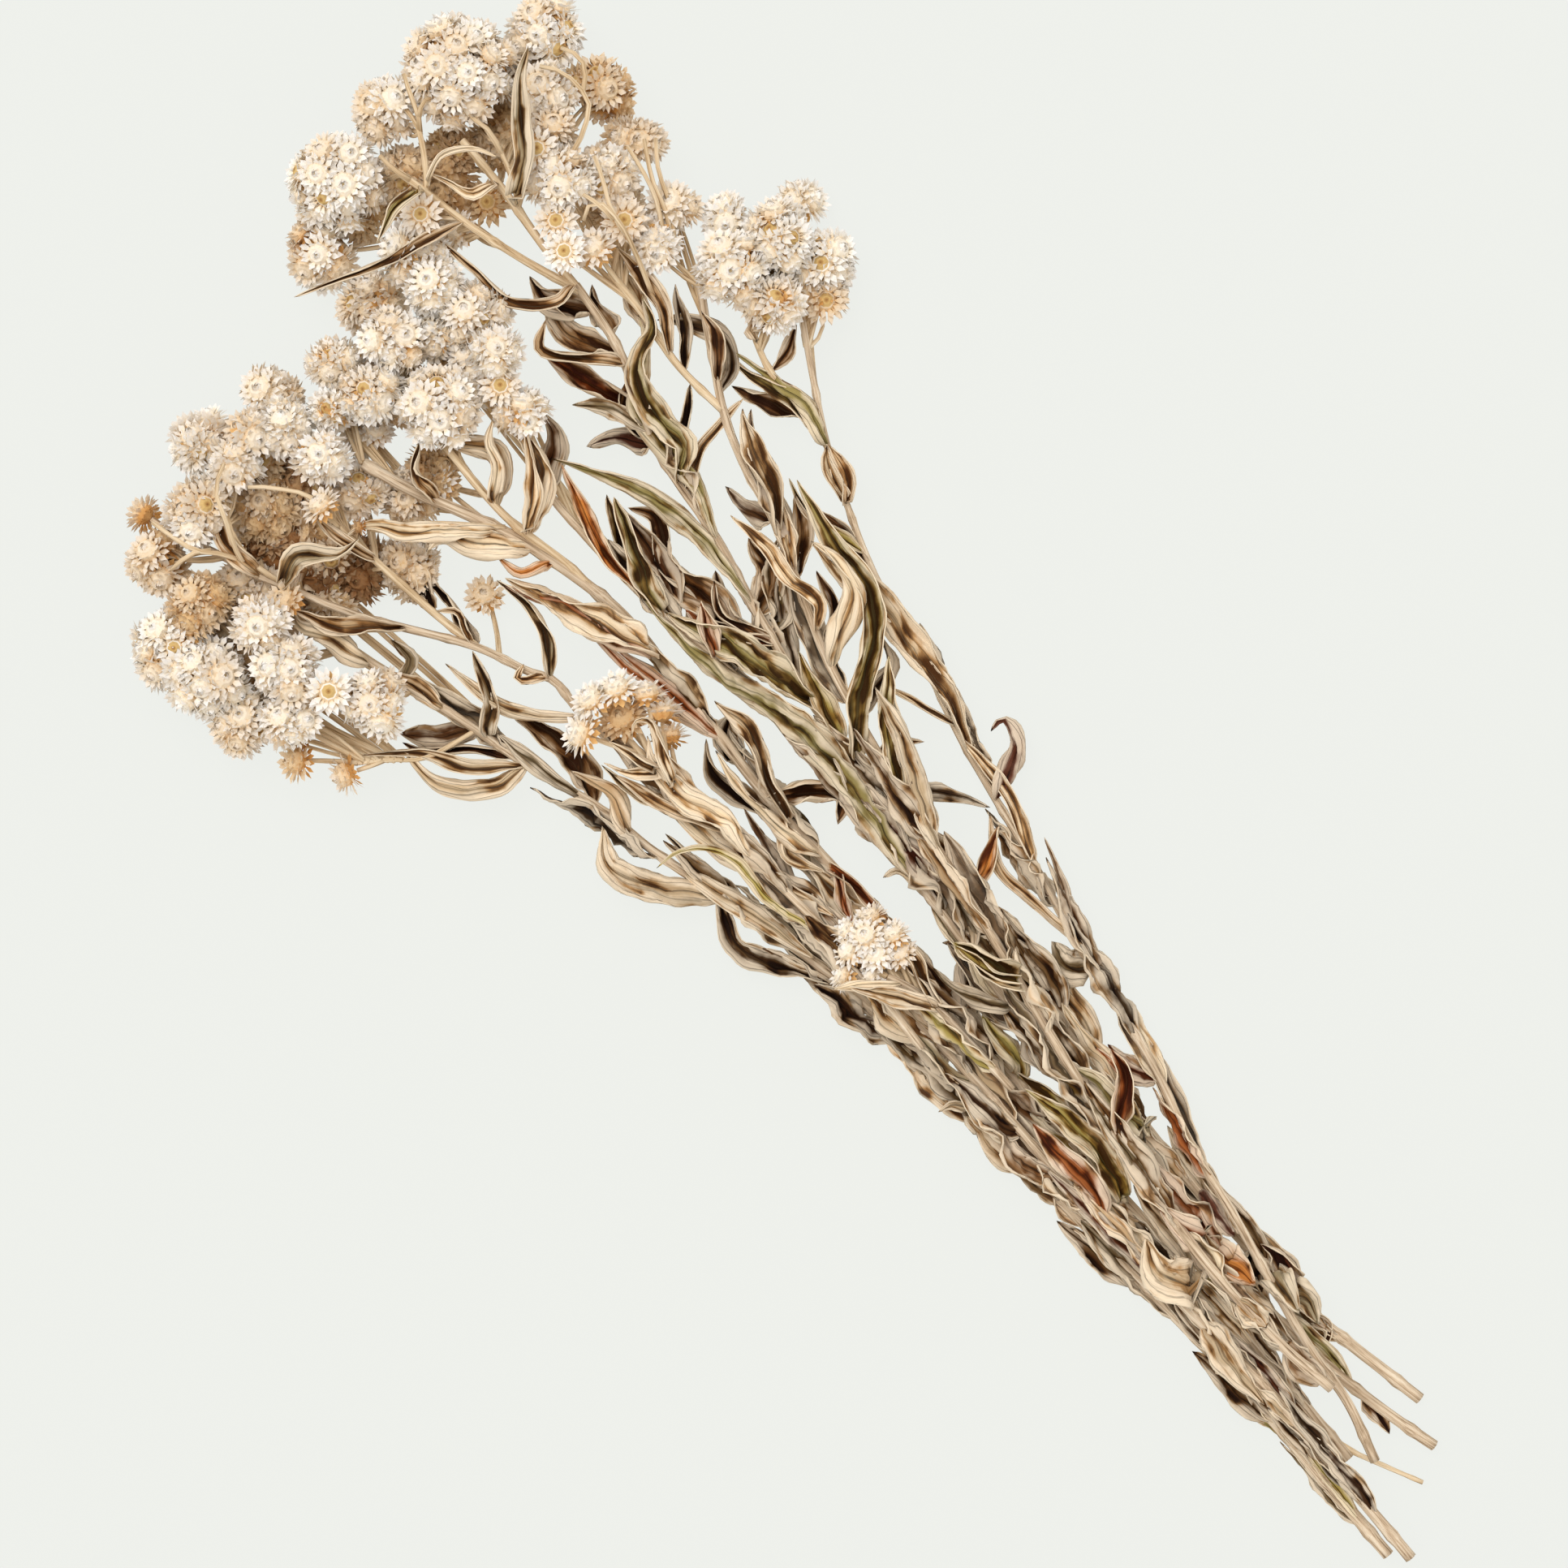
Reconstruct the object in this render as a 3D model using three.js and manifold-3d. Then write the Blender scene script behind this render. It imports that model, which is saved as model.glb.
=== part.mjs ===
// A loose bunch of dried pearly everlasting lying on its side, in millimetres with +Z up.
// X runs from the cut ends to the flowers, Y across the bunch. The routes below are measured
// from a point inside the bunch, and every piece is then moved by BUNCH_MIDDLE, so that the
// origin lies under the middle of the whole bunch.
import * as THREE from 'three';
import { mergeVertices } from 'three/addons/utils/BufferGeometryUtils.js';
import { ConvexHull } from 'three/addons/math/ConvexHull.js';
import Module from 'manifold-3d';

const wasm = await Module();
wasm.setup();

// Driving dimensions
const BUNCH_MIDDLE = [-24.64, 1.52];
const CLEARANCE = 0.45;
const STEM_SIDES = 5;
const STEM_STEP = 32;
const BRANCH_SIDES = 4;
const BRANCH_STEP = 14;
const STALK_SIDES = 3;
const STALK_RADII = [0.9, 0.65];
const BLADE_THICKNESS = 0.9;
const BLADE_STEP = 12;
const LEAF_FOLD = 0.25;
const BRACTS = 6;
const BRACT_RISE = 1.2;
const BRACT_NOTCH = 0.62;
const INNER_BRACT = 0.64;
const INNER_NOTCH = 0.36;
const INNER_RISES = [2.9, 2];
const HEAD_DEPTH = 3.2;
const HEAD_BASE = 2.2;
const DISC_RISE = 2.4;
const DISC_DEPTH = 1;
const SADDLE_DEPTH = 2.2;
const VALLEY_DEPTH = 3;
const SMALLEST_DOME = 6.5;
const FACES_UP = 75;
const HEADS_PER_SQUARE = 0.072;
const TRIO_LEVEL = 0.64;
const RING_LEVEL = 0.3;
const DOME_REACH = 1.42;
const GOLDEN_ANGLE = 2.39996;
const TOUCHING = 0.8;
const STALK_BEND = 0.35;
const STALK_REACH = 5;
const FORK_TURN = 1.7;
const FORK_SPACING = 1.5;
const HUG_SPACING = 38;
const HUG_LENGTHS = [30, 48];
const HUG_OFFSETS = [3.4, 4.4];
const HUG_WIDTHS = [6, 9.5];
const HUG_SWING = 0.4;
const HUG_TWIST = 30;
const HUG_FOLD = -0.3;
const HUG_SEED = 4021;
const HEAD_SEED = 977;
const SMALLEST_BODY = 12;
const SHORTEST_EDGE = 0.6;
const SMALLEST_AREA = 1e-4;
const TABLE = [700, 400, 40];

// Stems: radius at the cut end and at the tip, then the route, [x, y, z] from the cut end up
const STEMS = [
  { radii: [1.8, 0.9], route: [
    [-233, -4.5, 12], [-216, -9, 14], [-200, -10.3, 15.5], [-178, -14, 16], [-160, -17.5, 14],
    [-140, -20.5, 11], [-120, -26, 8], [-100, -29.5, 6.5], [-80, -32, 6], [-60, -36, 6], [-20, -43, 6],
    [0, -48, 6.5], [25, -52.5, 8], [46, -59.5, 9], [60, -65, 10], [75, -73, 12], [90, -81.5, 14],
  ] },
  { radii: [1.9, 1.1], route: [
    [-210, -8, 22], [-195, -5.5, 23], [-165, -4, 24], [-130, -6.5, 24], [-100, -10, 23.5],
    [-60, -16.5, 22], [-20, -22, 19], [0, -25.5, 16], [20, -30, 14], [40, -37, 15], [55, -42, 16],
    [70, -45, 17], [84, -50, 18], [95, -56, 19], [104, -61, 20], [112, -66, 21],
  ] },
  { radii: [2.1, 1.2], route: [
    [-229.5, -24, 2], [-208, -19.5, 3.5], [-195, -17, 4.4], [-150, -14.4, 5],
    [-120, -15, 5.5], [-80, -16.5, 6.5], [-40, -18, 8], [-5, -18.5, 9.5], [10, -19, 10],
    [35, -22.5, 12], [60, -27.5, 14], [90, -31, 17], [110, -38.5, 19], [120, -40.5, 20], [133, -41.5, 22],
  ] },
  { radii: [2, 1.1], route: [
    [-241, -19, 4], [-230, -16, 5.5], [-215, -12.5, 7.5], [-200, -10, 8.5], [-160, -7, 12],
    [-130, -6.8, 13.5], [-105, -7.5, 14], [-75, -8.4, 14], [-50, -10, 14], [-20, -11, 14.5],
    [10, -10.5, 15], [35, -7.5, 15], [60, -3.5, 15], [80, -2, 16], [100, -2, 19], [112, -6, 22],
  ] },
  { radii: [2.2, 1.6], route: [
    [-229, 0.5, 6], [-200, 0.2, 5.5], [-160, 1, 5], [-120, 2.5, 5.5], [-80, 3.8, 6.5], [-30, 4.2, 8.5],
    [0, 5.5, 10], [20, 4.8, 11], [40, 4, 12], [60, 4, 13.5], [70, 5.5, 15], [80, 8, 17],
    [95, 13, 19], [110, 20, 20], [120, 25, 21], [133, 30, 22],
  ] },
  { radii: [2.1, 1], route: [
    [-258, 4.5, 13], [-230, 4.6, 15], [-200, 5, 17], [-160, 8, 18], [-120, 10.5, 17.5],
    [-80, 12, 17], [-40, 16.5, 16.5], [0, 21, 15.5], [25, 25, 15], [48, 28.5, 15], [59, 28.5, 15],
    [65, 32, 15], [78, 38, 16], [95, 50, 18], [105, 57, 20], [120, 65, 22], [130, 70, 23],
    [140, 74, 23], [150, 79, 22], [157, 81, 21],
  ] },
  { radii: [2.2, 1.1], route: [
    [-255, 8.5, 4.5], [-230, 8.8, 5], [-200, 9.2, 5.5], [-160, 12, 5.5], [-120, 15.3, 5.5], [-80, 17.8, 6],
    [-50, 21.5, 6.5], [-30, 26.5, 7.5], [-10, 32, 9], [10, 37.5, 10], [27, 41, 11], [45, 47.5, 12],
    [60, 51.5, 13], [75, 56, 14], [90, 61, 15], [105, 66, 16], [112, 72, 17], [118, 84, 19],
  ] },
  { radii: [1.5, 1.1], route: [
    [-75, 16.5, 23], [-50, 15.5, 24], [-20, 17.5, 23], [5, 20, 22], [30, 23.5, 21],
  ] },
  { radii: [1.4, 1.1], route: [
    [-98, 5.5, 24], [-75, 6.5, 24.5], [-62, 8.5, 25.5], [-55, 11.5, 27],
  ] },
];

// Side branches seen between the leaves: number of the stem, radius, then the route
const BRANCHES = [
  [1, 1, [[60, -65, 10], [75, -66, 12], [84, -66, 14], [92, -68, 16], [99, -71, 18]]],
  [2, 1.2, [[84, -50, 18], [100, -48.5, 19], [115, -50, 20], [130, -50.5, 22]]],
  [3, 1.2, [[131, -41.3, 21.7], [150, -34, 27], [165, -29.5, 29], [176, -27, 30], [184, -25, 30]]],
  [3, 0.8, [[175, -27.2, 30], [182, -32.5, 29.5], [190, -36.5, 29], [195, -37, 28]]],
  [3, 1.3, [[131, -41.3, 21.7], [145, -41.5, 24], [157, -42.5, 26], [168, -43, 26], [180, -43, 25]]],
  [3, 0.8, [[156, -42.5, 26], [163, -46, 28], [170, -48.5, 28], [178, -49.5, 27]]],
  [3, 0.7, [[157, -42.5, 26], [159, -46, 28], [160, -50, 29]]],
  [5, 1.3, [[70, 5.5, 15], [80, 6.5, 17.5], [95, 10, 20], [105, 11, 21.5], [123, 11, 23]]],
  [5, 0.8, [[-220, 0.4, 6], [-228, -1.5, 4.8], [-237, -5.8, 3.8], [-246.5, -10.5, 3]]],
  [6, 1.2, [[78, 38, 15], [90, 40.5, 17], [100, 42, 19], [115, 44, 22], [126, 45.5, 26]]],
  [6, 0.8, [[120, 65, 22], [132, 68, 26], [142, 66.5, 28], [150, 62, 28]]],
  [7, 0.7, [[62, 52, 13], [65, 67, 15], [71, 75, 15.5], [75, 81, 16]]],
];

// Groups of heads: number of the stem, x, y, z of the middle, radius, and how far up in degrees
// the group faces. A radius of about 5 is one head, a larger one a dome of heads.
const GROUPS = [
  [1, 96, -77, 22, 8, 60], [1, 110, -75, 24, 10, 60], [1, 121, -82, 16, 7, 30], [1, 90, -88, 13, 6.6, 20],
  [1, 97, -94, 13, 9, 40], [1, 109, -89, 20, 10, 70], [1, 113, -100, 7, 7, 10],
  [2, 127, -64, 23, 6.6, 40], [2, 132, -73, 20, 6.6, 60], [2, 137, -61.5, 31, 5.5, 85],
  [2, 149, -66, 26, 8, 60], [2, 151, -77, 15, 8, 5], [2, 137, -51, 30, 5.5, 50],
  [2, 140.5, -44.5, 35, 5, 85], [2, 148, -48, 33, 5.2, 80], [2, 155, -56, 29, 9, 65],
  [3, 165, -56, 35, 5, 85], [3, 167, -62, 26, 7, 70], [3, 175, -66, 22, 9, 60], [3, 168, -78, 14, 9, 5],
  [3, 188, -77, 14, 10, 30], [3, 194, -54, 23, 15, 55], [3, 199, -33, 21, 9, 35], [3, 193, -12, 23, 13, 50],
  [3, 182, 3, 13, 10, 20], [3, 171.5, -22.5, 33, 5, 85], [3, 165, -15, 24, 9, 60], [3, 164, -27, 22, 5, 60],
  [3, 165, -38, 13, 5.5, 85], [3, 184, -25, 16, 8, 40], [3, 179, -38, 11, 9, 20],
  [4, 116, -10, 25, 7, 50], [4, 125, -10, 31, 5.2, 88], [4, 132, -15, 30, 6.6, 80],
  [4, 143, -16, 25, 9, 50], [4, 156, -13, 27, 8, 75], [4, 146, -5, 22, 7, 60], [4, 134, -8, 22, 7, 50],
  [5, 131, 5, 26, 11, 60], [5, 152, 4, 26, 9, 60], [5, 145, 17, 26, 8, 70], [5, 157, 20, 22, 7, 40],
  [5, 163, 1, 14, 9, 15], [5, 148, 28, 24, 7, 70], [5, 139, 24, 12, 6.6, 30], [5, 119, 27, 10, 8, 85],
  [5, 118, 18.5, 13, 5, 50],
  [6, 131.5, 45, 32, 5, 35], [6, 141, 37, 29, 7, 85], [6, 152, 39, 25, 8, 60], [6, 128, 35, 15, 8, 50],
  [6, 106, 38, 9, 9, 60], [6, 162, 37, 13, 8, 15], [6, 157, 47, 26, 6.6, 30], [6, 153, 56, 27, 7, 40],
  [6, 163, 60, 22, 8, 40], [6, 168, 53, 18, 5, 20], [6, 150, 70, 26, 9, 60], [6, 160, 82, 20, 5, 30],
  [6, 147, 86, 20, 9, 60], [6, 140, 57, 11, 11, 50], [6, 124, 52, 9, 9, 50], [6, 88, 28, 6, 5, 70],
  [7, 75, 86, 16, 5.5, 10], [7, 86, 93, 18, 5.5, 30], [7, 94, 87, 24, 8, 60], [7, 83, 67, 25, 9, 55],
  [7, 93, 74, 33, 5.5, 88], [7, 105, 79, 28, 9, 80], [7, 117, 77, 30, 7, 85], [7, 102, 97, 18, 9, 50],
  [7, 116, 96, 22, 11, 65], [7, 127, 98, 19, 12, 50], [7, 132, 85, 25, 8, 60], [7, 119, 68, 27, 5, 50],
  [7, 110, 61, 8, 8, 50], [7, 127, 75, 13, 9, 50],
  [8, 43, 32, 27, 7, 30], [8, 45, 19, 27, 8, 20],
  [9, -46, 20, 26, 5.5, 30], [9, -45.5, 11, 27, 7, 30],
];

// Leaves seen one by one: number of the stem, width, height above the stem, twist in degrees,
// then the route, [x, y] from the stem to the tip
const LEAVES = [
  [7, 9, 4, 60, [[-12, 33], [0, 42], [13, 48.5], [22, 43]]],
  [7, 6, -2, 40, [[-10, 33], [-25, 36], [-48, 24]]],
  [7, 5, 4, -50, [[0, 32], [-20, 28], [-40, 23]]],
  [7, 6, 3, 90, [[45, 49], [48, 58], [53, 66], [60, 69.5], [70, 70]]],
  [7, 5, -3, 40, [[50, 50], [60, 57], [66, 66], [72, 69]]],
  [7, 5, 3, 60, [[71, 54], [78, 56], [88, 60]]],
  [7, 5, 4, 50, [[30, 42], [45, 46], [58, 48.5]]],
  [7, 5, 6, 50, [[60, 50], [65, 44], [78, 39.5]]],
  [7, 4, 2, 80, [[84, 58], [87, 53], [94, 54]]],
  [7, 7, 7, 60, [[92, 61], [103, 65], [112, 70], [120, 66]]],
  [6, 3.5, 9, 60, [[-40, 18], [-20, 22], [-8, 22], [0, 26], [4, 32], [4.5, 39]]],
  [6, 5, 3, 50, [[-5, 21], [-20, 17], [-35, 12]]],
  [6, 4, 4, 60, [[45, 29], [55, 38], [65, 44], [80, 47]]],
  [6, 3, 2, 80, [[60, 30], [65, 35], [67, 31.5]]],
  [6, 3, 3, 60, [[80, 38], [88, 36], [92, 40]]],
  [6, 5, 4, 50, [[60, 28.5], [68, 22.5], [78, 21], [88, 23]]],
  [6, 6, 9, 120, [[122, 65], [125, 58], [118, 50], [118, 43]]],
  [6, 5, 5, 30, [[128, 69], [140, 70], [152, 64]]],
  [6, 5, -3, 40, [[78, 38], [92, 36], [104, 38]]],
  [6, 6, 6, 50, [[95, 49], [105, 62], [116, 68]]],
  [6, 4, 5, 60, [[112, 43.5], [122, 47], [131, 48]]],
  [5, 4, 3, 60, [[-5, 6], [-15, 11], [-25, 6.5]]],
  [5, 4, 5, 50, [[-28, 5], [-34, 8], [-40, 10]]],
  [5, 5, 4, 60, [[-25, 4], [-32, 3], [-45, 2]]],
  [5, 7, 2, 90, [[2, 4], [-6, -4], [-12, -9], [-17, -4]]],
  [5, 6, 6, 150, [[48, 4], [55, 8], [65, 12], [72, 14], [80, 20], [87, 23]]],
  [5, 5, 3, 50, [[20, 6], [35, 9], [50, 12], [65, 13.5]]],
  [5, 4, 5, 60, [[82, 9], [85, 17], [92, 19]]],
  [5, 5, 8, 90, [[92, 10], [98, 2], [105, -4], [113, -8]]],
  [5, 4, 5, 90, [[103, 11], [110, 4], [116, 2], [120, -3]]],
  [5, 5, 7, 60, [[98, 14], [107, 26], [112, 33], [120, 40], [121, 46]]],
  [5, 5, 4, 60, [[112, 21], [122, 21], [128, 15]]],
  [4, 9, 5, 50, [[-42, -11], [-20, -13], [0, -13.5], [20, -9], [30, -5], [50, -3], [60, -3]]],
  [4, 3, 2, 80, [[-45, -11], [-36, -8], [-35, -4]]],
  [4, 5, 4, 60, [[62, -3], [75, -2.5], [88, -6], [100, -9]]],
  [4, 5, -2, 60, [[60, -4], [70, -5.5], [87, -13]]],
  [4, 7, -3, 50, [[48, -6], [60, -11], [85, -14]]],
  [4, 5, 3, 60, [[36, -8], [44, -11], [50, -14]]],
  [3, 10, 3, 30, [[-48, -17], [-35, -18], [-22, -25]]],
  [3, 5, 4, 90, [[-56, -17], [-52, -20], [-50, -26], [-44, -36]]],
  [2, 5, -4, 60, [[-20, -22], [-30, -32], [-39, -37]]],
  [1, 7, 3, 120, [[-38, -40], [-36, -46], [-30, -53], [-24, -54], [-24, -50]]],
  [1, 4, 3, 60, [[-80, -31], [-65, -30], [-52, -29], [-40, -36]]],
  [1, 3, 1, 60, [[-80, -32], [-68, -38], [-54, -43]]],
  [1, 5, 3, 50, [[-57, -37], [-40, -43], [-20, -43]]],
  [1, 4, 2, 60, [[-18, -43], [-5, -48], [20, -49]]],
  [1, 3, 5, 60, [[-16, -44], [-6, -40], [3, -36.5]]],
  [3, 8, 6, 80, [[-8, -19], [0, -25], [8, -35], [20, -46]]],
  [2, 6, 2, 60, [[-22, -22], [-10, -27], [8, -42]]],
  [3, 4, -2, 60, [[-9, -19], [-10, -28], [-15, -35]]],
  [3, 6, 4, 40, [[0, -19], [12, -22], [24, -25]]],
  [3, 5, 2, 60, [[30, -21], [45, -16], [52, -20]]],
  [3, 6, 4, 150, [[40, -23], [55, -25], [65, -25], [80, -21], [90, -16], [103, -8]]],
  [3, 6, -2, 60, [[18, -20], [38, -30], [48, -40]]],
  [2, 5, 4, 90, [[25, -31], [30, -37], [40, -35], [50, -36], [62, -34]]],
  [1, 4, 4, 50, [[10, -50], [30, -46], [45, -46]]],
  [1, 4, 2, 60, [[32, -54], [50, -50], [60, -52]]],
  [1, 4, 0, 60, [[26, -53], [40, -54], [50, -52]]],
  [1, 5, 1, 60, [[44, -59], [52, -62], [60, -64]]],
  [2, 5, 3, 60, [[42, -38], [50, -42], [58, -48]]],
  [2, 5, -3, 90, [[55, -42], [70, -49], [80, -56]]],
  [3, 7, 5, 90, [[58, -27], [75, -33.5], [90, -33], [100, -34], [110, -45], [117, -49]]],
  [3, 4, 2, 60, [[74, -30], [80, -39], [82, -48], [83, -56]]],
  [3, 5, -2, 60, [[82, -31], [88, -41], [95, -48]]],
  [3, 5, 3, 60, [[92, -31], [103, -28], [110, -21]]],
  [3, 6, 4, 90, [[108, -38], [118, -30], [126, -24], [131, -30]]],
  [3, 5, 4, 60, [[133, -41], [132, -35], [140, -26], [152, -24], [164, -22]]],
  [2, 4, -2, 60, [[98, -49], [107, -56], [117, -61.5]]],
  [2, 4, 4, 60, [[90, -54], [100, -61], [107, -62]]],
  [2, 6, 3, 60, [[104, -49], [112, -54], [122, -56], [134, -56]]],
  [1, 5, 2, 60, [[62, -65], [75, -65], [90, -61], [100, -60]]],
  [1, 4, 0, 60, [[84, -66], [85, -72], [89, -79]]],
  [1, 3, 3, 90, [[92, -68], [96, -69], [91, -74]]],
  [3, 6, 17, 90, [[158, -43], [165, -52], [172, -57], [180, -63], [186, -71]]],
  [3, 3.5, 12, 60, [[176, -27], [176, -18], [172, -9]]],
  [3, 3, 8, 120, [[176, -28], [179, -36], [176, -43], [169, -47]]],
  [3, 3, 6, 120, [[165, -43], [167, -36], [172, -34], [178, -31]]],
  [3, 4, 4, 60, [[163, -30], [168, -8], [172, 4], [176, 16]]],
  [6, 11, 4, 20, [[-168, 6.5], [-158, 6], [-146, 5]]],
  [4, 8, 5, 20, [[-158, -9], [-151, -5], [-144, -5]]],
  [5, 6, 4, 40, [[-135, 2], [-115, -2], [-95, 2]]],
  [3, 5, 5, 60, [[-124, -14], [-114, -18.5], [-104, -18]]],
  [5, 9, 3, 90, [[-80, 4], [-72, -3], [-64, -9], [-58, -5]]],
  [7, 3, 4, 60, [[-96, 17], [-92, 20], [-91, 24]]],
  [9, 6, 2, 60, [[-70, 8], [-58, 4], [-47, 2]]],
  [9, 5, 5, 60, [[-70, 8.5], [-60, 13], [-50, 21]]],
  [8, 5, 3, 60, [[5, 20], [18, 20], [32, 18]]],
  [8, 5, 3, 60, [[0, 19.5], [15, 27], [30, 32]]],
];

// Withered leaves that hug the stems: number of the stem, then the first and last x
const HUGGED = [
  [1, -150, -10], [2, -195, 70], [3, -205, 90], [4, -215, 50], [5, -215, 55], [6, -245, 50],
  [7, -245, 50], [8, -60, 20], [9, -92, -66],
];

// A repeatable run of numbers between low and high
function draws(seed) {
  let state = seed;
  return (low, high) => {
    state = (state * 1664525 + 1013904223) % 4294967296;
    return low + (high - low) * state / 4294967296;
  };
}

// A closed three.js geometry as a solid that can be joined and cut
function solid(geometry) {
  const bare = new THREE.BufferGeometry();
  bare.setAttribute('position', geometry.getAttribute('position'));
  bare.setIndex(geometry.index);
  const merged = mergeVertices(bare, 1e-5);
  return new wasm.Manifold(new wasm.Mesh({
    numProp: 3,
    vertProperties: new Float32Array(merged.getAttribute('position').array),
    triVerts: new Uint32Array(merged.index.array),
  }));
}

const join = (shapes) => wasm.Manifold.union(shapes);
const vector = ([x, y, z]) => new THREE.Vector3(x, y, z);
const smooth = (points) => new THREE.CatmullRomCurve3(points, false, 'centripetal');

// Rings of points, closed by a fan at each end. The diagonals alternate, so that both faces of a
// flat blade are split alike.
function loft(start, rings, end) {
  const sides = rings[0].length;
  const points = [start, ...rings.flat(), end];
  const at = (ring, side) => 1 + ring * sides + side % sides;
  const tip = points.length - 1;
  const index = [];
  for (let side = 0; side < sides; side++) {
    index.push(0, at(0, side + 1), at(0, side));
    index.push(tip, at(rings.length - 1, side), at(rings.length - 1, side + 1));
    for (let ring = 0; ring + 1 < rings.length; ring++) {
      const [a, b] = [at(ring, side), at(ring, side + 1)];
      const [c, d] = [at(ring + 1, side + 1), at(ring + 1, side)];
      if (side % 2) index.push(a, b, d, b, c, d);
      else index.push(a, b, c, a, c, d);
    }
  }
  return solid(new THREE.BufferGeometry().setFromPoints(points).setIndex(index));
}

// Place on a curve with the directions along it, to its right and up from it
function station(curve, share) {
  const point = curve.getPointAt(share);
  const along = curve.getTangentAt(share);
  const pole = Math.abs(along.z) > 0.95 ? new THREE.Vector3(1, 0, 0) : new THREE.Vector3(0, 0, 1);
  const right = along.clone().cross(pole).normalize();
  const up = right.clone().cross(along).normalize();
  return { point, along, right, up };
}

function tube(curve, [first, last], sides, steps, margin) {
  const rings = [];
  for (let step = 0; step <= steps; step++) {
    const { point, right, up } = station(curve, step / steps);
    const radius = first + (last - first) * step / steps + margin;
    rings.push(Array.from({ length: sides }, (_, side) => {
      const turn = side / sides * Math.PI * 2;
      return point.clone().addScaledVector(up, radius * Math.cos(turn))
        .addScaledVector(right, radius * Math.sin(turn));
    }));
  }
  return loft(curve.getPointAt(0), rings, curve.getPointAt(1));
}

// A long narrow blade with sharp edges, folded along its midrib, rolled at its foot and twisted
// towards its tip
function blade({ curve, width, roll, twist, fold }, margin) {
  const rings = [];
  const steps = THREE.MathUtils.clamp(Math.round(curve.getLength() / BLADE_STEP), 3, 6);
  for (let step = 1; step <= steps; step++) {
    const share = step / (steps + 1);
    const { point, right, up } = station(curve, share);
    const angle = THREE.MathUtils.degToRad(roll + twist * share);
    const across = right.clone().multiplyScalar(Math.cos(angle)).addScaledVector(up, Math.sin(angle));
    const off = up.clone().multiplyScalar(Math.cos(angle)).addScaledVector(right, -Math.sin(angle));
    const half = width / 2 * Math.sin(Math.PI * share ** 0.8) ** 0.75 + margin;
    const thick = BLADE_THICKNESS / 2 + margin;
    const edge = off.clone().multiplyScalar(half * fold);
    rings.push([
      point.clone().addScaledVector(off, thick),
      point.clone().addScaledVector(across, half).add(edge),
      point.clone().addScaledVector(off, -thick),
      point.clone().addScaledVector(across, -half).add(edge),
    ]);
  }
  const { along } = station(curve, 1);
  return loft(curve.getPointAt(0), rings, curve.getPointAt(1).addScaledVector(along, margin));
}

// One head: a star of papery bracts round a raised disc, on a pointed base. A head that faces
// up shows a second ring of bracts inside the first.
function star({ foot, facing, radius, layers }, margin) {
  const across = new THREE.Vector3(0.31, 0.52, 0.8).cross(facing).normalize();
  const over = facing.clone().cross(across);
  const ring = (tip, notch, tipRise, notchRise, offset) => Array.from({ length: BRACTS * 2 }, (_, side) => {
    const isTip = (side + offset) % 2 === 0;
    const angle = side * Math.PI / BRACTS;
    const reach = (isTip ? tip : notch) + margin;
    return foot.clone().addScaledVector(facing, isTip ? tipRise : notchRise)
      .addScaledVector(across, reach * Math.cos(angle)).addScaledVector(over, reach * Math.sin(angle));
  });
  const rings = [ring(radius, radius * BRACT_NOTCH, BRACT_RISE, 0, 0)];
  if (layers > 1) rings.push(ring(radius * INNER_BRACT, radius * INNER_NOTCH, ...INNER_RISES, 1));
  const top = foot.clone().addScaledVector(facing, DISC_RISE + margin);
  return loft(foot.clone().addScaledVector(facing, -HEAD_BASE - margin), rings, top);
}

// A dome of heads as one closed skin. The net that joins each head to its neighbours is cut into
// corners: from a head's disc to the low places between it and two neighbours. Every corner is
// raised into the tips of bracts, two in a small dome and one in a large one.
function dome({ middle, ways, radius, facing }, margin) {
  const back = facing.clone().negate();
  const hull = new ConvexHull().setFromPoints([...ways, back]);
  const fine = ways.length < 5;
  const triangles = [];
  const at = (way, depth) => way.clone().normalize().multiplyScalar(radius - depth + margin).add(middle);
  const mix = (...shares) => shares.reduce(
    (sum, [way, share]) => sum.addScaledVector(way, share), new THREE.Vector3()).normalize();
  for (const face of hull.faces) {
    const corners = [face.edge, face.edge.next, face.edge.next.next].map((edge) => edge.head().point);
    const valley = mix(...corners.map((way) => [way, 1]));
    const low = at(valley, VALLEY_DEPTH);
    corners.forEach((way, place) => {
      const after = mix([way, 1], [corners[(place + 1) % 3], 1]);
      const before = mix([way, 1], [corners[(place + 2) % 3], 1]);
      const [next, last] = [at(after, SADDLE_DEPTH), at(before, SADDLE_DEPTH)];
      const disc = at(way, way === back ? HEAD_DEPTH : DISC_DEPTH);
      if (way === back) {
        triangles.push([disc, next, low], [disc, low, last]);
      } else if (fine) {
        const first = at(mix([way, 0.4], [after, 0.8], [valley, 0.8]), 0);
        const second = at(mix([way, 0.4], [before, 0.8], [valley, 0.8]), 0);
        triangles.push([disc, next, first], [next, low, first], [low, disc, first]);
        triangles.push([disc, low, second], [low, last, second], [last, disc, second]);
      } else {
        const tip = at(mix([way, 0.5], [valley, 1]), 0);
        triangles.push([disc, next, tip], [next, low, tip], [tip, low, last], [disc, tip, last]);
      }
    });
  }
  return solid(new THREE.BufferGeometry().setFromPoints(triangles.flat()));
}

// Solids held together in one mesh, largest first. A closed hollow shows as a body of negative
// volume and is filled by leaving it out, and loose scraps are dropped.
function bodies(shape) {
  return shape.decompose()
    .filter((body) => body.volume() > SMALLEST_BODY)
    .sort((a, b) => b.volume() - a.volume());
}

// The surface that the bunch lies on presses the lowest heads, leaves and stem ends flat
const table = solid(new THREE.BoxGeometry(...TABLE).translate(0, 0, -TABLE[2] / 2));

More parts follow.
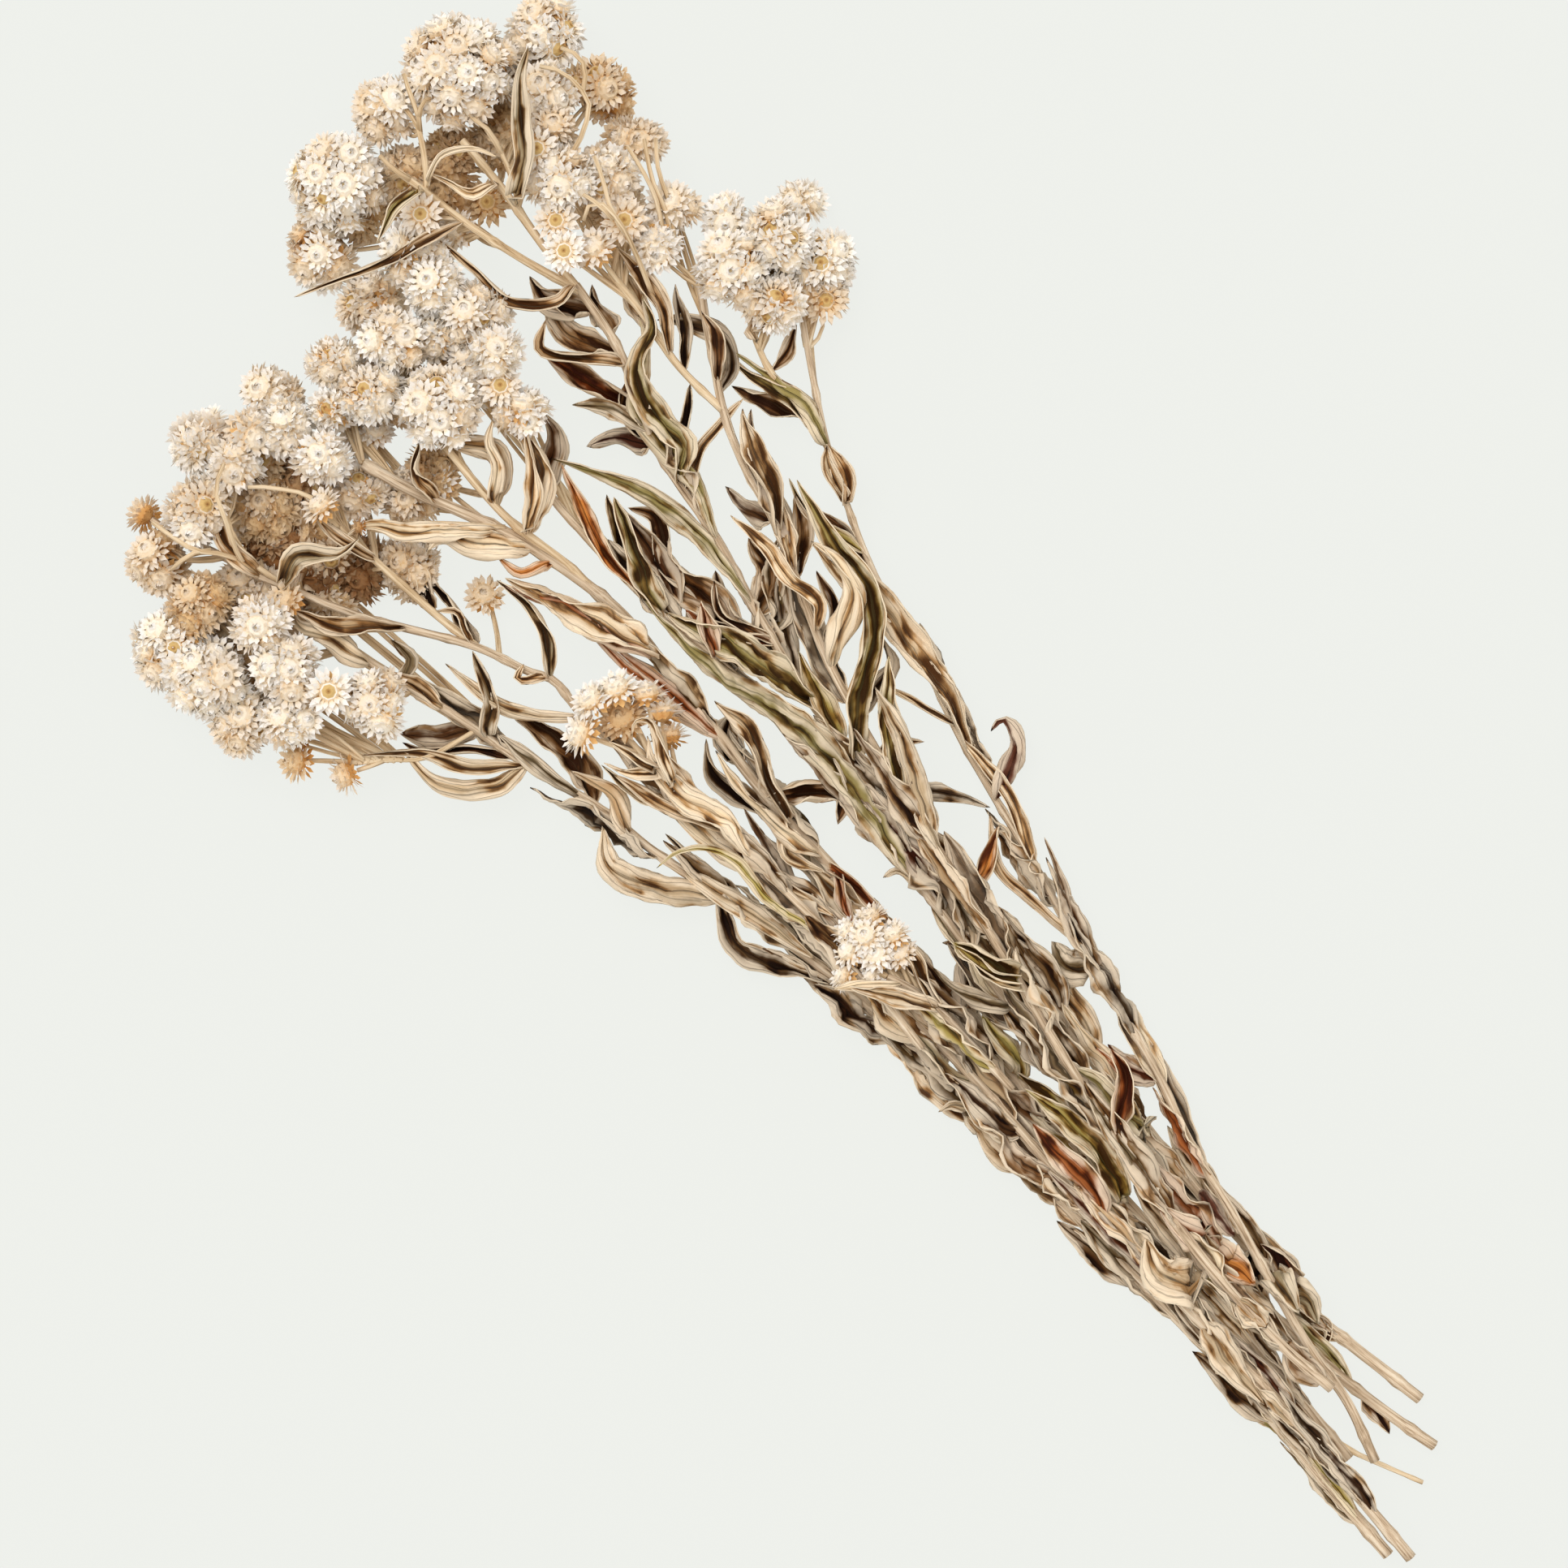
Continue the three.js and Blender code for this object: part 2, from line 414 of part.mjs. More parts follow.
const stems = STEMS.map(({ radii, route }, place) => {
  const number = place + 1;
  const branches = BRANCHES.filter(([stem]) => stem === number).map(
    ([, radius, points]) => ({ radius, curve: smooth(points.map(vector)) }));
  return { number, radii, curve: smooth(route.map(vector)), branches, forks: [] };
});

// Where a stalk leaves the stem for a group of heads: the nearest free place that lies behind it
function fork(stem, middle, reach) {
  let best = null;
  for (const curve of [stem.curve, ...stem.branches.map((branch) => branch.curve)]) {
    for (let step = 10; step <= 40; step++) {
      const point = curve.getPointAt(step / 40);
      const along = curve.getTangentAt(step / 40);
      const away = middle.clone().sub(point);
      const gap = away.length();
      const cost = gap * (FORK_TURN - along.dot(away) / gap);
      const taken = stem.forks.some((other) => other.distanceTo(point) < FORK_SPACING);
      if (gap > reach && !taken && (!best || cost < best.cost)) best = { point, cost };
    }
  }
  stem.forks.push(best.point);
  return best.point;
}

// Directions of a dome's heads: a ring, a ring round a top head, or an even spread down to a
// little below the rim
function spread(count, facing, phase) {
  const across = new THREE.Vector3(0.1, 0.2, 1).cross(facing).normalize();
  const over = facing.clone().cross(across);
  const way = (level, angle) => facing.clone().multiplyScalar(level)
    .addScaledVector(across, Math.sqrt(1 - level * level) * Math.cos(angle))
    .addScaledVector(over, Math.sqrt(1 - level * level) * Math.sin(angle));
  const list = (length, place) => Array.from({ length }, (_, number) => place(number));
  if (count === 1) return [facing.clone()];
  if (count === 3) return list(3, (number) => way(TRIO_LEVEL, phase + number * Math.PI * 2 / 3));
  if (count < 7) {
    const turn = Math.PI * 2 / (count - 1);
    const ring = list(count - 1, (number) => way(RING_LEVEL, phase + number * turn));
    return [facing.clone(), ...ring];
  }
  return list(count, (number) => (
    way(1 - (number + 0.5) / count * DOME_REACH, phase + number * GOLDEN_ANGLE)));
}

// Every group of heads with its stalk
const draw = draws(HEAD_SEED);
for (const stem of stems) {
  stem.groups = GROUPS.filter(([number]) => number === stem.number).map(([, x, y, z, radius, rise]) => {
    const middle = new THREE.Vector3(x, y, z);
    const point = fork(stem, middle, radius + STALK_REACH);
    const slope = THREE.MathUtils.degToRad(rise);
    const outward = middle.clone().sub(point).setZ(0).normalize();
    const facing = outward.multiplyScalar(Math.cos(slope)).setZ(Math.sin(slope)).normalize();
    const single = radius < SMALLEST_DOME;
    const count = single ? 1 : Math.max(3, Math.round(HEADS_PER_SQUARE * radius * radius));
    const ways = spread(count, facing, draw(0, Math.PI * 2));
    const base = single ? HEAD_BASE + 1 : radius - HEAD_DEPTH;
    const back = middle.clone().addScaledVector(facing, -base - CLEARANCE);
    const bend = back.clone().addScaledVector(facing, -back.distanceTo(point) * STALK_BEND);
    const stalk = new THREE.QuadraticBezierCurve3(point, bend, back);
    const foot = middle.clone().addScaledVector(facing, -1);
    return { middle, radius, single, facing, ways, foot, stalk, layers: rise > FACES_UP ? 2 : 1 };
  });
}

// A head that stands apart is grown onto its stalk. A group that leans on a larger one is held
// by it, and has no stalk of its own.
for (const { groups } of stems) {
  for (const group of groups) {
    const gap = (other) => group.middle.distanceTo(other.middle) / (group.radius + other.radius);
    const others = groups.filter((other) => other !== group);
    group.apart = group.single && others.every((other) => gap(other) > TOUCHING);
    group.held = others.some((other) => gap(other) < TOUCHING && (other.radius > group.radius
      || (other.radius === group.radius && groups.indexOf(other) < groups.indexOf(group))));
  }
}

function woodOf(stem, margin) {
  const steps = Math.round(stem.curve.getLength() / STEM_STEP);
  const shapes = [tube(stem.curve, stem.radii, STEM_SIDES, steps, margin)];
  for (const { radius, curve } of stem.branches) {
    const parts = Math.max(2, Math.round(curve.getLength() / BRANCH_STEP));
    shapes.push(tube(curve, [radius, radius * 0.85], BRANCH_SIDES, parts, margin));
  }
  for (const group of stem.groups) {
    if (!group.held) shapes.push(tube(group.stalk, STALK_RADII, STALK_SIDES, 2, margin));
    if (group.apart) shapes.push(star(group, margin));
  }
  return join(shapes);
}

const whiteOf = (stem, margin) => join(stem.groups.filter((group) => !group.apart).map(
  (group) => (group.single ? star(group, margin) : dome(group, margin))));

// Leaves with a drawn route start at the nearest place on their stem
function drawnLeaf(stem, [, width, rise, twist, route]) {
  const curves = [stem.curve, ...stem.branches.map((branch) => branch.curve)];
  const samples = curves.flatMap((curve) => curve.getSpacedPoints(120));
  const [x, y] = route[0];
  const gap = (point) => Math.hypot(point.x - x, point.y - y);
  const near = samples.reduce((best, point) => (gap(point) < gap(best) ? point : best));
  const points = route.slice(1).map(([px, py]) => new THREE.Vector3(px, py, near.z + rise));
  const elbow = near.clone().lerp(points[0], 0.3).setZ(near.z + rise * 0.9);
  return { curve: smooth([near, elbow, ...points]), width, roll: -twist / 2, twist, fold: LEAF_FOLD };
}

// Leaves that hug the stem follow each other round it by the golden angle
const hug = draws(HUG_SEED);
function huggingLeaves(stem, [, first, last]) {
  const length = stem.curve.getLength();
  const samples = stem.curve.getSpacedPoints(300);
  const leaves = [];
  let turn = hug(0, Math.PI * 2);
  for (let x = first; x < last; x += hug(0.8, 1.2) * HUG_SPACING) {
    const start = samples.findIndex((point) => point.x > x) / 300;
    const reach = hug(...HUG_LENGTHS);
    const offset = hug(...HUG_OFFSETS);
    const swing = hug(-HUG_SWING, HUG_SWING);
    const points = [[0, 0], [0.08, offset], [0.5, offset], [1, offset + 1]].map(([part, away]) => {
      const { point, right, up } = station(stem.curve, Math.min(start + part * reach / length, 0.999));
      const angle = turn + part * swing;
      return point.clone().addScaledVector(right, away * Math.cos(angle))
        .addScaledVector(up, away * Math.sin(angle));
    });
    const roll = THREE.MathUtils.radToDeg(turn) - 90;
    const width = hug(...HUG_WIDTHS);
    leaves.push({ curve: smooth(points), width, roll, twist: hug(-HUG_TWIST, HUG_TWIST), fold: HUG_FOLD });
    turn += GOLDEN_ANGLE;
  }
  return leaves;
}

const leavesOf = (stem, margin) => join(stem.leaves.map((leaf) => blade(leaf, margin)));

for (const stem of stems) {
  const mine = ([number]) => number === stem.number;
  const drawn = LEAVES.filter(mine).map((row) => drawnLeaf(stem, row));
  stem.leaves = [...drawn, ...huggingLeaves(stem, HUGGED.find(mine))];
  stem.wideWood = woodOf(stem, CLEARANCE);
  stem.wideWhite = whiteOf(stem, CLEARANCE);
  stem.wideLeaves = leavesOf(stem, CLEARANCE);
}

const bunch = new THREE.Group();
const tan = { color: 0xb9a684, roughness: 0.85, metalness: 0 };
const white = { color: 0xf1e9da, roughness: 0.8, metalness: 0 };

// Joining leaves slivers along the seams. An edge shorter than SHORTEST_EDGE is closed up, where
// its two ends share only two neighbours and no triangle beside it would turn over.
function withoutSlivers({ vertProperties, triVerts }) {
  const points = Array.from({ length: vertProperties.length / 3 }, (_, place) => (
    new THREE.Vector3().fromArray(vertProperties, place * 3)));
  const triangles = Array.from({ length: triVerts.length / 3 }, (_, place) => (
    [...triVerts.subarray(place * 3, place * 3 + 3)]));
  const around = points.map(() => new Set());
  triangles.forEach((corners) => corners.forEach((corner) => around[corner].add(corners)));
  const neighbours = (point) => new Set([...around[point]].flat().filter((corner) => corner !== point));
  const normal = (corners, moved, place) => {
    const [a, b, c] = corners.map((corner) => (moved.includes(corner) ? place : points[corner]));
    return b.clone().sub(a).cross(c.clone().sub(a));
  };
  const close = (keep, drop) => {
    const shared = [...neighbours(keep)].filter((corner) => neighbours(drop).has(corner));
    if (shared.length !== 2) return false;
    const place = points[keep].clone().lerp(points[drop], 0.5);
    for (const corners of new Set([...around[keep], ...around[drop]])) {
      if (corners.includes(keep) && corners.includes(drop)) continue;
      const [before, after] = [normal(corners, [], place), normal(corners, [keep, drop], place)];
      if (after.length() < SMALLEST_AREA || before.dot(after) < 0) return false;
    }
    points[keep] = place;
    for (const corners of [...around[drop]]) {
      if (corners.includes(keep)) corners.forEach((corner) => around[corner].delete(corners));
      else {
        corners[corners.indexOf(drop)] = keep;
        around[keep].add(corners);
      }
    }
    around[drop].clear();
    return true;
  };
  for (let closed = true; closed;) {
    closed = false;
    for (let keep = 0; keep < points.length; keep++) {
      for (const drop of neighbours(keep)) {
        const short = points[keep].distanceTo(points[drop]) < SHORTEST_EDGE;
        if (short && close(keep, drop)) {
          closed = true;
          break;
        }
      }
    }
  }
  const left = new Set(around.flatMap((set) => [...set]));
  return new THREE.BufferGeometry().setFromPoints([...left].flat().map((corner) => points[corner]));
}

function addPiece(name, shape, look) {
  const geometry = withoutSlivers(shape.getMesh());
  geometry.computeVertexNormals();
  const mesh = new THREE.Mesh(geometry, new THREE.MeshStandardMaterial(look));
  mesh.name = name;
  mesh.position.set(-BUNCH_MIDDLE[0], -BUNCH_MIDDLE[1], 0);
  bunch.add(mesh);
}

// Wood stays whole. Heads are cut clear of the wood and of the heads before them, leaves of
// everything that belongs to another stem.
const allWood = stems.map((stem) => stem.wideWood);
const allWhite = stems.map((stem) => stem.wideWhite);
stems.forEach((stem, place) => {
  const before = stems.slice(0, place);
  const otherWood = allWood.filter((wood) => wood !== stem.wideWood);
  const inTheWay = join([...otherWood, ...allWhite, ...before.map((other) => other.wideLeaves)]);
  const leafy = woodOf(stem, 0).add(leavesOf(stem, 0).subtract(inTheWay)).subtract(table);
  addPiece(`leafy_stem_${stem.number}`, bodies(leafy)[0], tan);
  const headsBefore = before.map((other) => other.wideWhite);
  const heads = whiteOf(stem, 0).subtract(join([...allWood, ...headsBefore, table]));
  bodies(heads).forEach((body, order) => addPiece(`flower_heads_${stem.number}_${order + 1}`, body, white));
});

export default bunch;
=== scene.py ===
from math import cos, degrees, exp, hypot, pi, radians, sin, sqrt, tau

import bmesh
import bpy
from mathutils import Matrix, Vector, noise


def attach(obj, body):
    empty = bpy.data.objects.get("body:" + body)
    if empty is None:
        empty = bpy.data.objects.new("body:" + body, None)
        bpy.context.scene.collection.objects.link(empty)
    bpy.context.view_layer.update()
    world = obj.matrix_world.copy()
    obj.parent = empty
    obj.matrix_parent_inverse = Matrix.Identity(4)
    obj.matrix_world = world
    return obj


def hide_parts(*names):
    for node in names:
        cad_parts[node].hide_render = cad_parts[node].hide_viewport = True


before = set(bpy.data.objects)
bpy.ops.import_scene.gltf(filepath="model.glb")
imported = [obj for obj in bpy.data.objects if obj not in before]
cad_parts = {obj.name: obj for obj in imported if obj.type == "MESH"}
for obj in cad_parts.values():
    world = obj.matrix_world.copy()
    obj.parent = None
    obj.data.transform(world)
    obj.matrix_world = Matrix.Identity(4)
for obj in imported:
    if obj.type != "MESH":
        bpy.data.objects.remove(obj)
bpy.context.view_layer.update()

# The camera looks straight down on the bunch from far above, as a studio camera over a table does.
# The cut ends point to the lower right of the picture and the flowers to the upper left.
MM = 0.001
BUNCH_MIDDLE = Vector((-24.64, 1.52, 0))
PICTURE_SIDE = 1932 * 0.21 * MM
CAMERA_HEIGHT = 1.6
FLOWERS_LIE_HIGH = 15 * MM
SENSOR = 36

camera = bpy.data.objects.new("camera", bpy.data.cameras.new("camera"))
camera.data.sensor_width = SENSOR
camera.data.lens = SENSOR * (CAMERA_HEIGHT - FLOWERS_LIE_HIGH) / PICTURE_SIDE
camera.data.clip_end = 20
camera.location = (-BUNCH_MIDDLE.x * MM, -BUNCH_MIDDLE.y * MM, CAMERA_HEIGHT)
camera.rotation_euler = (0, 0, radians(-130))
bpy.context.scene.collection.objects.link(camera)
bpy.context.scene.camera = camera


# Shader values are written as sums: a Value wraps one socket, and an operator on it adds the node.
# A Finish is one material. Its add method makes every node that isn't plain arithmetic.
class Value:
    def __init__(self, finish, socket):
        self.finish, self.socket = finish, socket

    def maths(self, operation, *others):
        return self.finish.add("ShaderNodeMath", {"operation": operation}, dict(enumerate(others)))

    def __add__(self, other): return self.maths("ADD", self, other)
    def __radd__(self, other): return self.maths("ADD", other, self)
    def __sub__(self, other): return self.maths("SUBTRACT", self, other)
    def __rsub__(self, other): return self.maths("SUBTRACT", other, self)
    def __mul__(self, other): return self.maths("MULTIPLY", self, other)
    def __rmul__(self, other): return self.maths("MULTIPLY", other, self)
    def __truediv__(self, other): return self.maths("DIVIDE", self, other)
    def __abs__(self): return self.maths("ABSOLUTE", self)

    def between(self, low, high):
        """0 at low, 1 at high, smooth between them."""
        return self.finish.add("ShaderNodeMapRange", {"interpolation_type": "SMOOTHSTEP"},
                               {"Value": self, "From Min": low, "From Max": high})


def colour(red, green, blue):
    """A screen colour, 0 to 255, as the shader's linear one."""
    parts = [part / 255 for part in (red, green, blue)]
    return (*(part / 12.92 if part <= 0.04045 else ((part + 0.055) / 1.055) ** 2.4 for part in parts), 1)


class Finish:
    def __init__(self, name, **shader):
        self.material = bpy.data.materials.new(name)
        self.material.use_nodes = True
        self.nodes, self.links = self.material.node_tree.nodes, self.material.node_tree.links
        self.shader = self.nodes["Principled BSDF"]
        for socket, value in shader.items():
            self.shader.inputs[socket.replace("_", " ")].default_value = value

    def add(self, kind, settings, values, out=0):
        node = self.nodes.new(kind)
        for setting, value in settings.items():
            if setting == "stops":
                while len(node.color_ramp.elements) < len(value):
                    node.color_ramp.elements.new(0.5)
                for stop, (place, shade) in zip(node.color_ramp.elements, value):
                    stop.position, stop.color = place, colour(*shade)
            else:
                setattr(node, setting, value)
        for socket, value in values.items():
            self.put(node.inputs[socket], value)
        return Value(self, node.outputs[out])

    def put(self, socket, value):
        if isinstance(value, Value):
            self.links.new(value.socket, socket)
        else:
            socket.default_value = value

    def attribute(self, name, out="Fac"):
        return self.add("ShaderNodeAttribute", {"attribute_name": name}, {}, out)

    def stretched(self, vector, scale):
        return self.add("ShaderNodeMapping", {}, {"Vector": vector, "Scale": scale})

    def noise(self, vector, scale, detail=3, roughness=0.55):
        return self.add("ShaderNodeTexNoise", {}, {"Vector": vector, "Scale": scale, "Detail": detail,
                                                   "Roughness": roughness})

    def ramp(self, value, stops):
        return self.add("ShaderNodeValToRGB", {"stops": stops}, {"Fac": value})

    def mix(self, amount, first, second, blend="MIX"):
        return self.add("ShaderNodeMix", {"data_type": "RGBA", "blend_type": blend},
                        {0: amount, 6: first, 7: second}, 2)

    def dim(self, shade, amount):
        return self.add("ShaderNodeVectorMath", {"operation": "SCALE"}, {0: shade, "Scale": amount})

    def bump(self, height, distance):
        return self.add("ShaderNodeBump", {}, {"Height": height, "Distance": distance, "Strength": 1.0})

    def wear(self, **sockets):
        for socket, value in sockets.items():
            self.put(self.shader.inputs[socket.replace("_", " ")], value)
        return self.material


# The floor is a wide pale board, lit a little from below as a light table is, so that shadows on it
# stay faint. The main light is a soft one from the flower end, and warm light comes from all around.
floor_bm = bmesh.new()
bmesh.ops.create_grid(floor_bm, x_segments=1, y_segments=1, size=4)
floor_mesh = bpy.data.meshes.new("floor")
floor_bm.to_mesh(floor_mesh)
floor_bm.free()
floor = bpy.data.objects.new("floor", floor_mesh)
floor_mesh.materials.append(Finish("pale_board", Base_Color=(0.030, 0.031, 0.031, 1), Roughness=0.9,
                                   Emission_Color=(0.804, 0.820, 0.782, 1), Emission_Strength=1.0).material)
bpy.context.scene.collection.objects.link(floor)

sun = bpy.data.objects.new("soft_light", bpy.data.lights.new("soft_light", "SUN"))
sun.data.energy = 1.5
sun.data.angle = radians(40)
sun.data.color = (1, 0.99, 0.975)
sun.rotation_euler = Vector((0.36, 0, 0.93)).to_track_quat("Z", "Y").to_euler()
bpy.context.scene.collection.objects.link(sun)
world = bpy.data.worlds.new("studio")
world.use_nodes = True
world.node_tree.nodes["Background"].inputs["Color"].default_value = (1, 0.94, 0.87, 1)
world.node_tree.nodes["Background"].inputs["Strength"].default_value = 0.75
bpy.context.scene.world = world
bpy.context.scene.view_settings.view_transform = "Standard"

# Nine stems, cut at one end: ribbed, dry and tan, a little swollen where each leaf grew. A stem
# holds its side branches, and these hold the thin woolly stalks of the flower heads.
# Radius at the cut end and at the tip, then the route, [x, y, z] from the cut end up.
STEMS = [
    (1.8, 0.9, [
        (-233, -4.5, 12), (-216, -9, 14), (-200, -10.3, 15.5), (-178, -14, 16), (-160, -17.5, 14),
        (-140, -20.5, 11), (-120, -26, 8), (-100, -29.5, 6.5), (-80, -32, 6), (-60, -36, 6), (-20, -43, 6),
        (0, -48, 6.5), (25, -52.5, 8), (46, -59.5, 9), (60, -65, 10), (75, -73, 12), (90, -81.5, 14)]),
    (1.9, 1.1, [
        (-210, -8, 22), (-195, -5.5, 23), (-165, -4, 24), (-130, -6.5, 24), (-100, -10, 23.5),
        (-60, -16.5, 22), (-20, -22, 19), (0, -25.5, 16), (20, -30, 14), (40, -37, 15), (55, -42, 16),
        (70, -45, 17), (84, -50, 18), (95, -56, 19), (104, -61, 20), (112, -66, 21)]),
    (2.1, 1.2, [
        (-229.5, -24, 2), (-208, -19.5, 3.5), (-195, -17, 4.4), (-150, -14.4, 5), (-120, -15, 5.5),
        (-80, -16.5, 6.5), (-40, -18, 8), (-5, -18.5, 9.5), (10, -19, 10), (35, -22.5, 12), (60, -27.5, 14),
        (90, -31, 17), (110, -38.5, 19), (120, -40.5, 20), (133, -41.5, 22)]),
    (2, 1.1, [
        (-241, -19, 4), (-230, -16, 5.5), (-215, -12.5, 7.5), (-200, -10, 8.5), (-160, -7, 12),
        (-130, -6.8, 13.5), (-105, -7.5, 14), (-75, -8.4, 14), (-50, -10, 14), (-20, -11, 14.5),
        (10, -10.5, 15), (35, -7.5, 15), (60, -3.5, 15), (80, -2, 16), (100, -2, 19), (112, -6, 22)]),
    (2.2, 1.6, [
        (-229, 0.5, 6), (-200, 0.2, 5.5), (-160, 1, 5), (-120, 2.5, 5.5), (-80, 3.8, 6.5), (-30, 4.2, 8.5),
        (0, 5.5, 10), (20, 4.8, 11), (40, 4, 12), (60, 4, 13.5), (70, 5.5, 15), (80, 8, 17), (95, 13, 19),
        (110, 20, 20), (120, 25, 21), (133, 30, 22)]),
    (2.1, 1, [
        (-258, 4.5, 13), (-230, 4.6, 15), (-200, 5, 17), (-160, 8, 18), (-120, 10.5, 17.5), (-80, 12, 17),
        (-40, 16.5, 16.5), (0, 21, 15.5), (25, 25, 15), (48, 28.5, 15), (59, 28.5, 15), (65, 32, 15),
        (78, 38, 16), (95, 50, 18), (105, 57, 20), (120, 65, 22), (130, 70, 23), (140, 74, 23),
        (150, 79, 22), (157, 81, 21)]),
    (2.2, 1.1, [
        (-255, 8.5, 4.5), (-230, 8.8, 5), (-200, 9.2, 5.5), (-160, 12, 5.5), (-120, 15.3, 5.5),
        (-80, 17.8, 6), (-50, 21.5, 6.5), (-30, 26.5, 7.5), (-10, 32, 9), (10, 37.5, 10), (27, 41, 11),
        (45, 47.5, 12), (60, 51.5, 13), (75, 56, 14), (90, 61, 15), (105, 66, 16), (112, 72, 17),
        (118, 84, 19)]),
    (1.5, 1.1, [(-75, 16.5, 23), (-50, 15.5, 24), (-20, 17.5, 23), (5, 20, 22), (30, 23.5, 21)]),
    (1.4, 1.1, [(-98, 5.5, 24), (-75, 6.5, 24.5), (-62, 8.5, 25.5), (-55, 11.5, 27)]),
]
# Side branches: number of the stem, radius, route
BRANCHES = [
    (1, 1, [(60, -65, 10), (75, -66, 12), (84, -66, 14), (92, -68, 16), (99, -71, 18)]),
    (2, 1.2, [(84, -50, 18), (100, -48.5, 19), (115, -50, 20), (130, -50.5, 22)]),
    (3, 1.2, [(131, -41.3, 21.7), (150, -34, 27), (165, -29.5, 29), (176, -27, 30), (184, -25, 30)]),
    (3, 0.8, [(175, -27.2, 30), (182, -32.5, 29.5), (190, -36.5, 29), (195, -37, 28)]),
    (3, 1.3, [(131, -41.3, 21.7), (145, -41.5, 24), (157, -42.5, 26), (168, -43, 26), (180, -43, 25)]),
    (3, 0.8, [(156, -42.5, 26), (163, -46, 28), (170, -48.5, 28), (178, -49.5, 27)]),
    (3, 0.7, [(157, -42.5, 26), (159, -46, 28), (160, -50, 29)]),
    (5, 1.3, [(70, 5.5, 15), (80, 6.5, 17.5), (95, 10, 20), (105, 11, 21.5), (123, 11, 23)]),
    (5, 0.8, [(-220, 0.4, 6), (-228, -1.5, 4.8), (-237, -5.8, 3.8), (-246.5, -10.5, 3)]),
    (6, 1.2, [(78, 38, 15), (90, 40.5, 17), (100, 42, 19), (115, 44, 22), (126, 45.5, 26)]),
    (6, 0.8, [(120, 65, 22), (132, 68, 26), (142, 66.5, 28), (150, 62, 28)]),
    (7, 0.7, [(62, 52, 13), (65, 67, 15), (71, 75, 15.5), (75, 81, 16)]),
]
# Bare stalks that lie over the flowers: number of the stem, route
BARE_STALKS = [
    (2, [(150, -79, 26), (140.2, -73.7, 29), (131.4, -71, 25), (122, -65, 22)]),
    (2, [(151, -74.3, 31), (144.2, -73.4, 31), (136.5, -71.5, 28), (126, -66, 23)]),
    (2, [(148.4, -81.5, 25), (141.4, -76.6, 27), (133.1, -73.3, 25), (122, -66, 21)]),
    (2, [(143.4, -53.4, 34), (145.3, -57.7, 37), (143.2, -59.7, 37), (136, -60, 36), (127.5, -58, 30),
         (118, -55, 22)]),
    (2, [(154, -66, 35), (148.3, -64, 36), (141, -60.6, 36), (134, -59.4, 34)]),
    (2, [(148.3, -57.5, 36), (143.4, -58.9, 37), (138.4, -59.3, 36)]),
    (3, [(181, -70.2, 32), (176.3, -73.6, 32), (169.9, -74.6, 32), (165.8, -74, 33), (161.1, -68.6, 33),
         (158, -60, 27)]),
    (3, [(181.9, -77.9, 24), (178.8, -79.4, 26), (173.5, -79.1, 29), (168.9, -74.7, 32)]),
    (3, [(202, -42.4, 30), (196.2, -40, 32), (191.8, -38.6, 31), (188, -36, 29)]),
    (3, [(192.3, -44.1, 31), (193.1, -41.5, 32), (191, -38.4, 31)]),
    (3, [(185.2, -48.7, 30), (180.9, -48.8, 30), (176.7, -49.9, 29), (170, -48.5, 28)]),
    (3, [(190, -24.2, 30), (185.1, -24.6, 31), (180.2, -26.1, 31)]),
    (6, [(154.4, 56.9, 37), (150.8, 62.6, 38), (143, 65.9, 36), (135.2, 69.3, 30), (131, 70, 24)]),
    (6, [(146.4, 56.2, 32), (143.3, 52.5, 33), (139.6, 49.3, 33), (134.2, 45.4, 32), (126, 45.5, 27)]),
    (6, [(155.7, 81.1, 27), (150.1, 79.5, 30), (142.9, 77.1, 31), (138.1, 72.7, 30), (129.9, 68, 24)]),
    (6, [(143.3, 85.2, 28), (142.8, 78.3, 31), (140.3, 74, 30)]),
    (5, [(120.8, 40.7, 26), (117.7, 37, 25), (109.5, 26, 24), (97, 12.5, 20)]),
]
STEM_SIDES, BRANCH_SIDES, STALK_SIDES = 14, 9, 5
RING_EVERY = 2.6
JOINT_EVERY = 17
CLEAR_OF_BOARD = 0.25


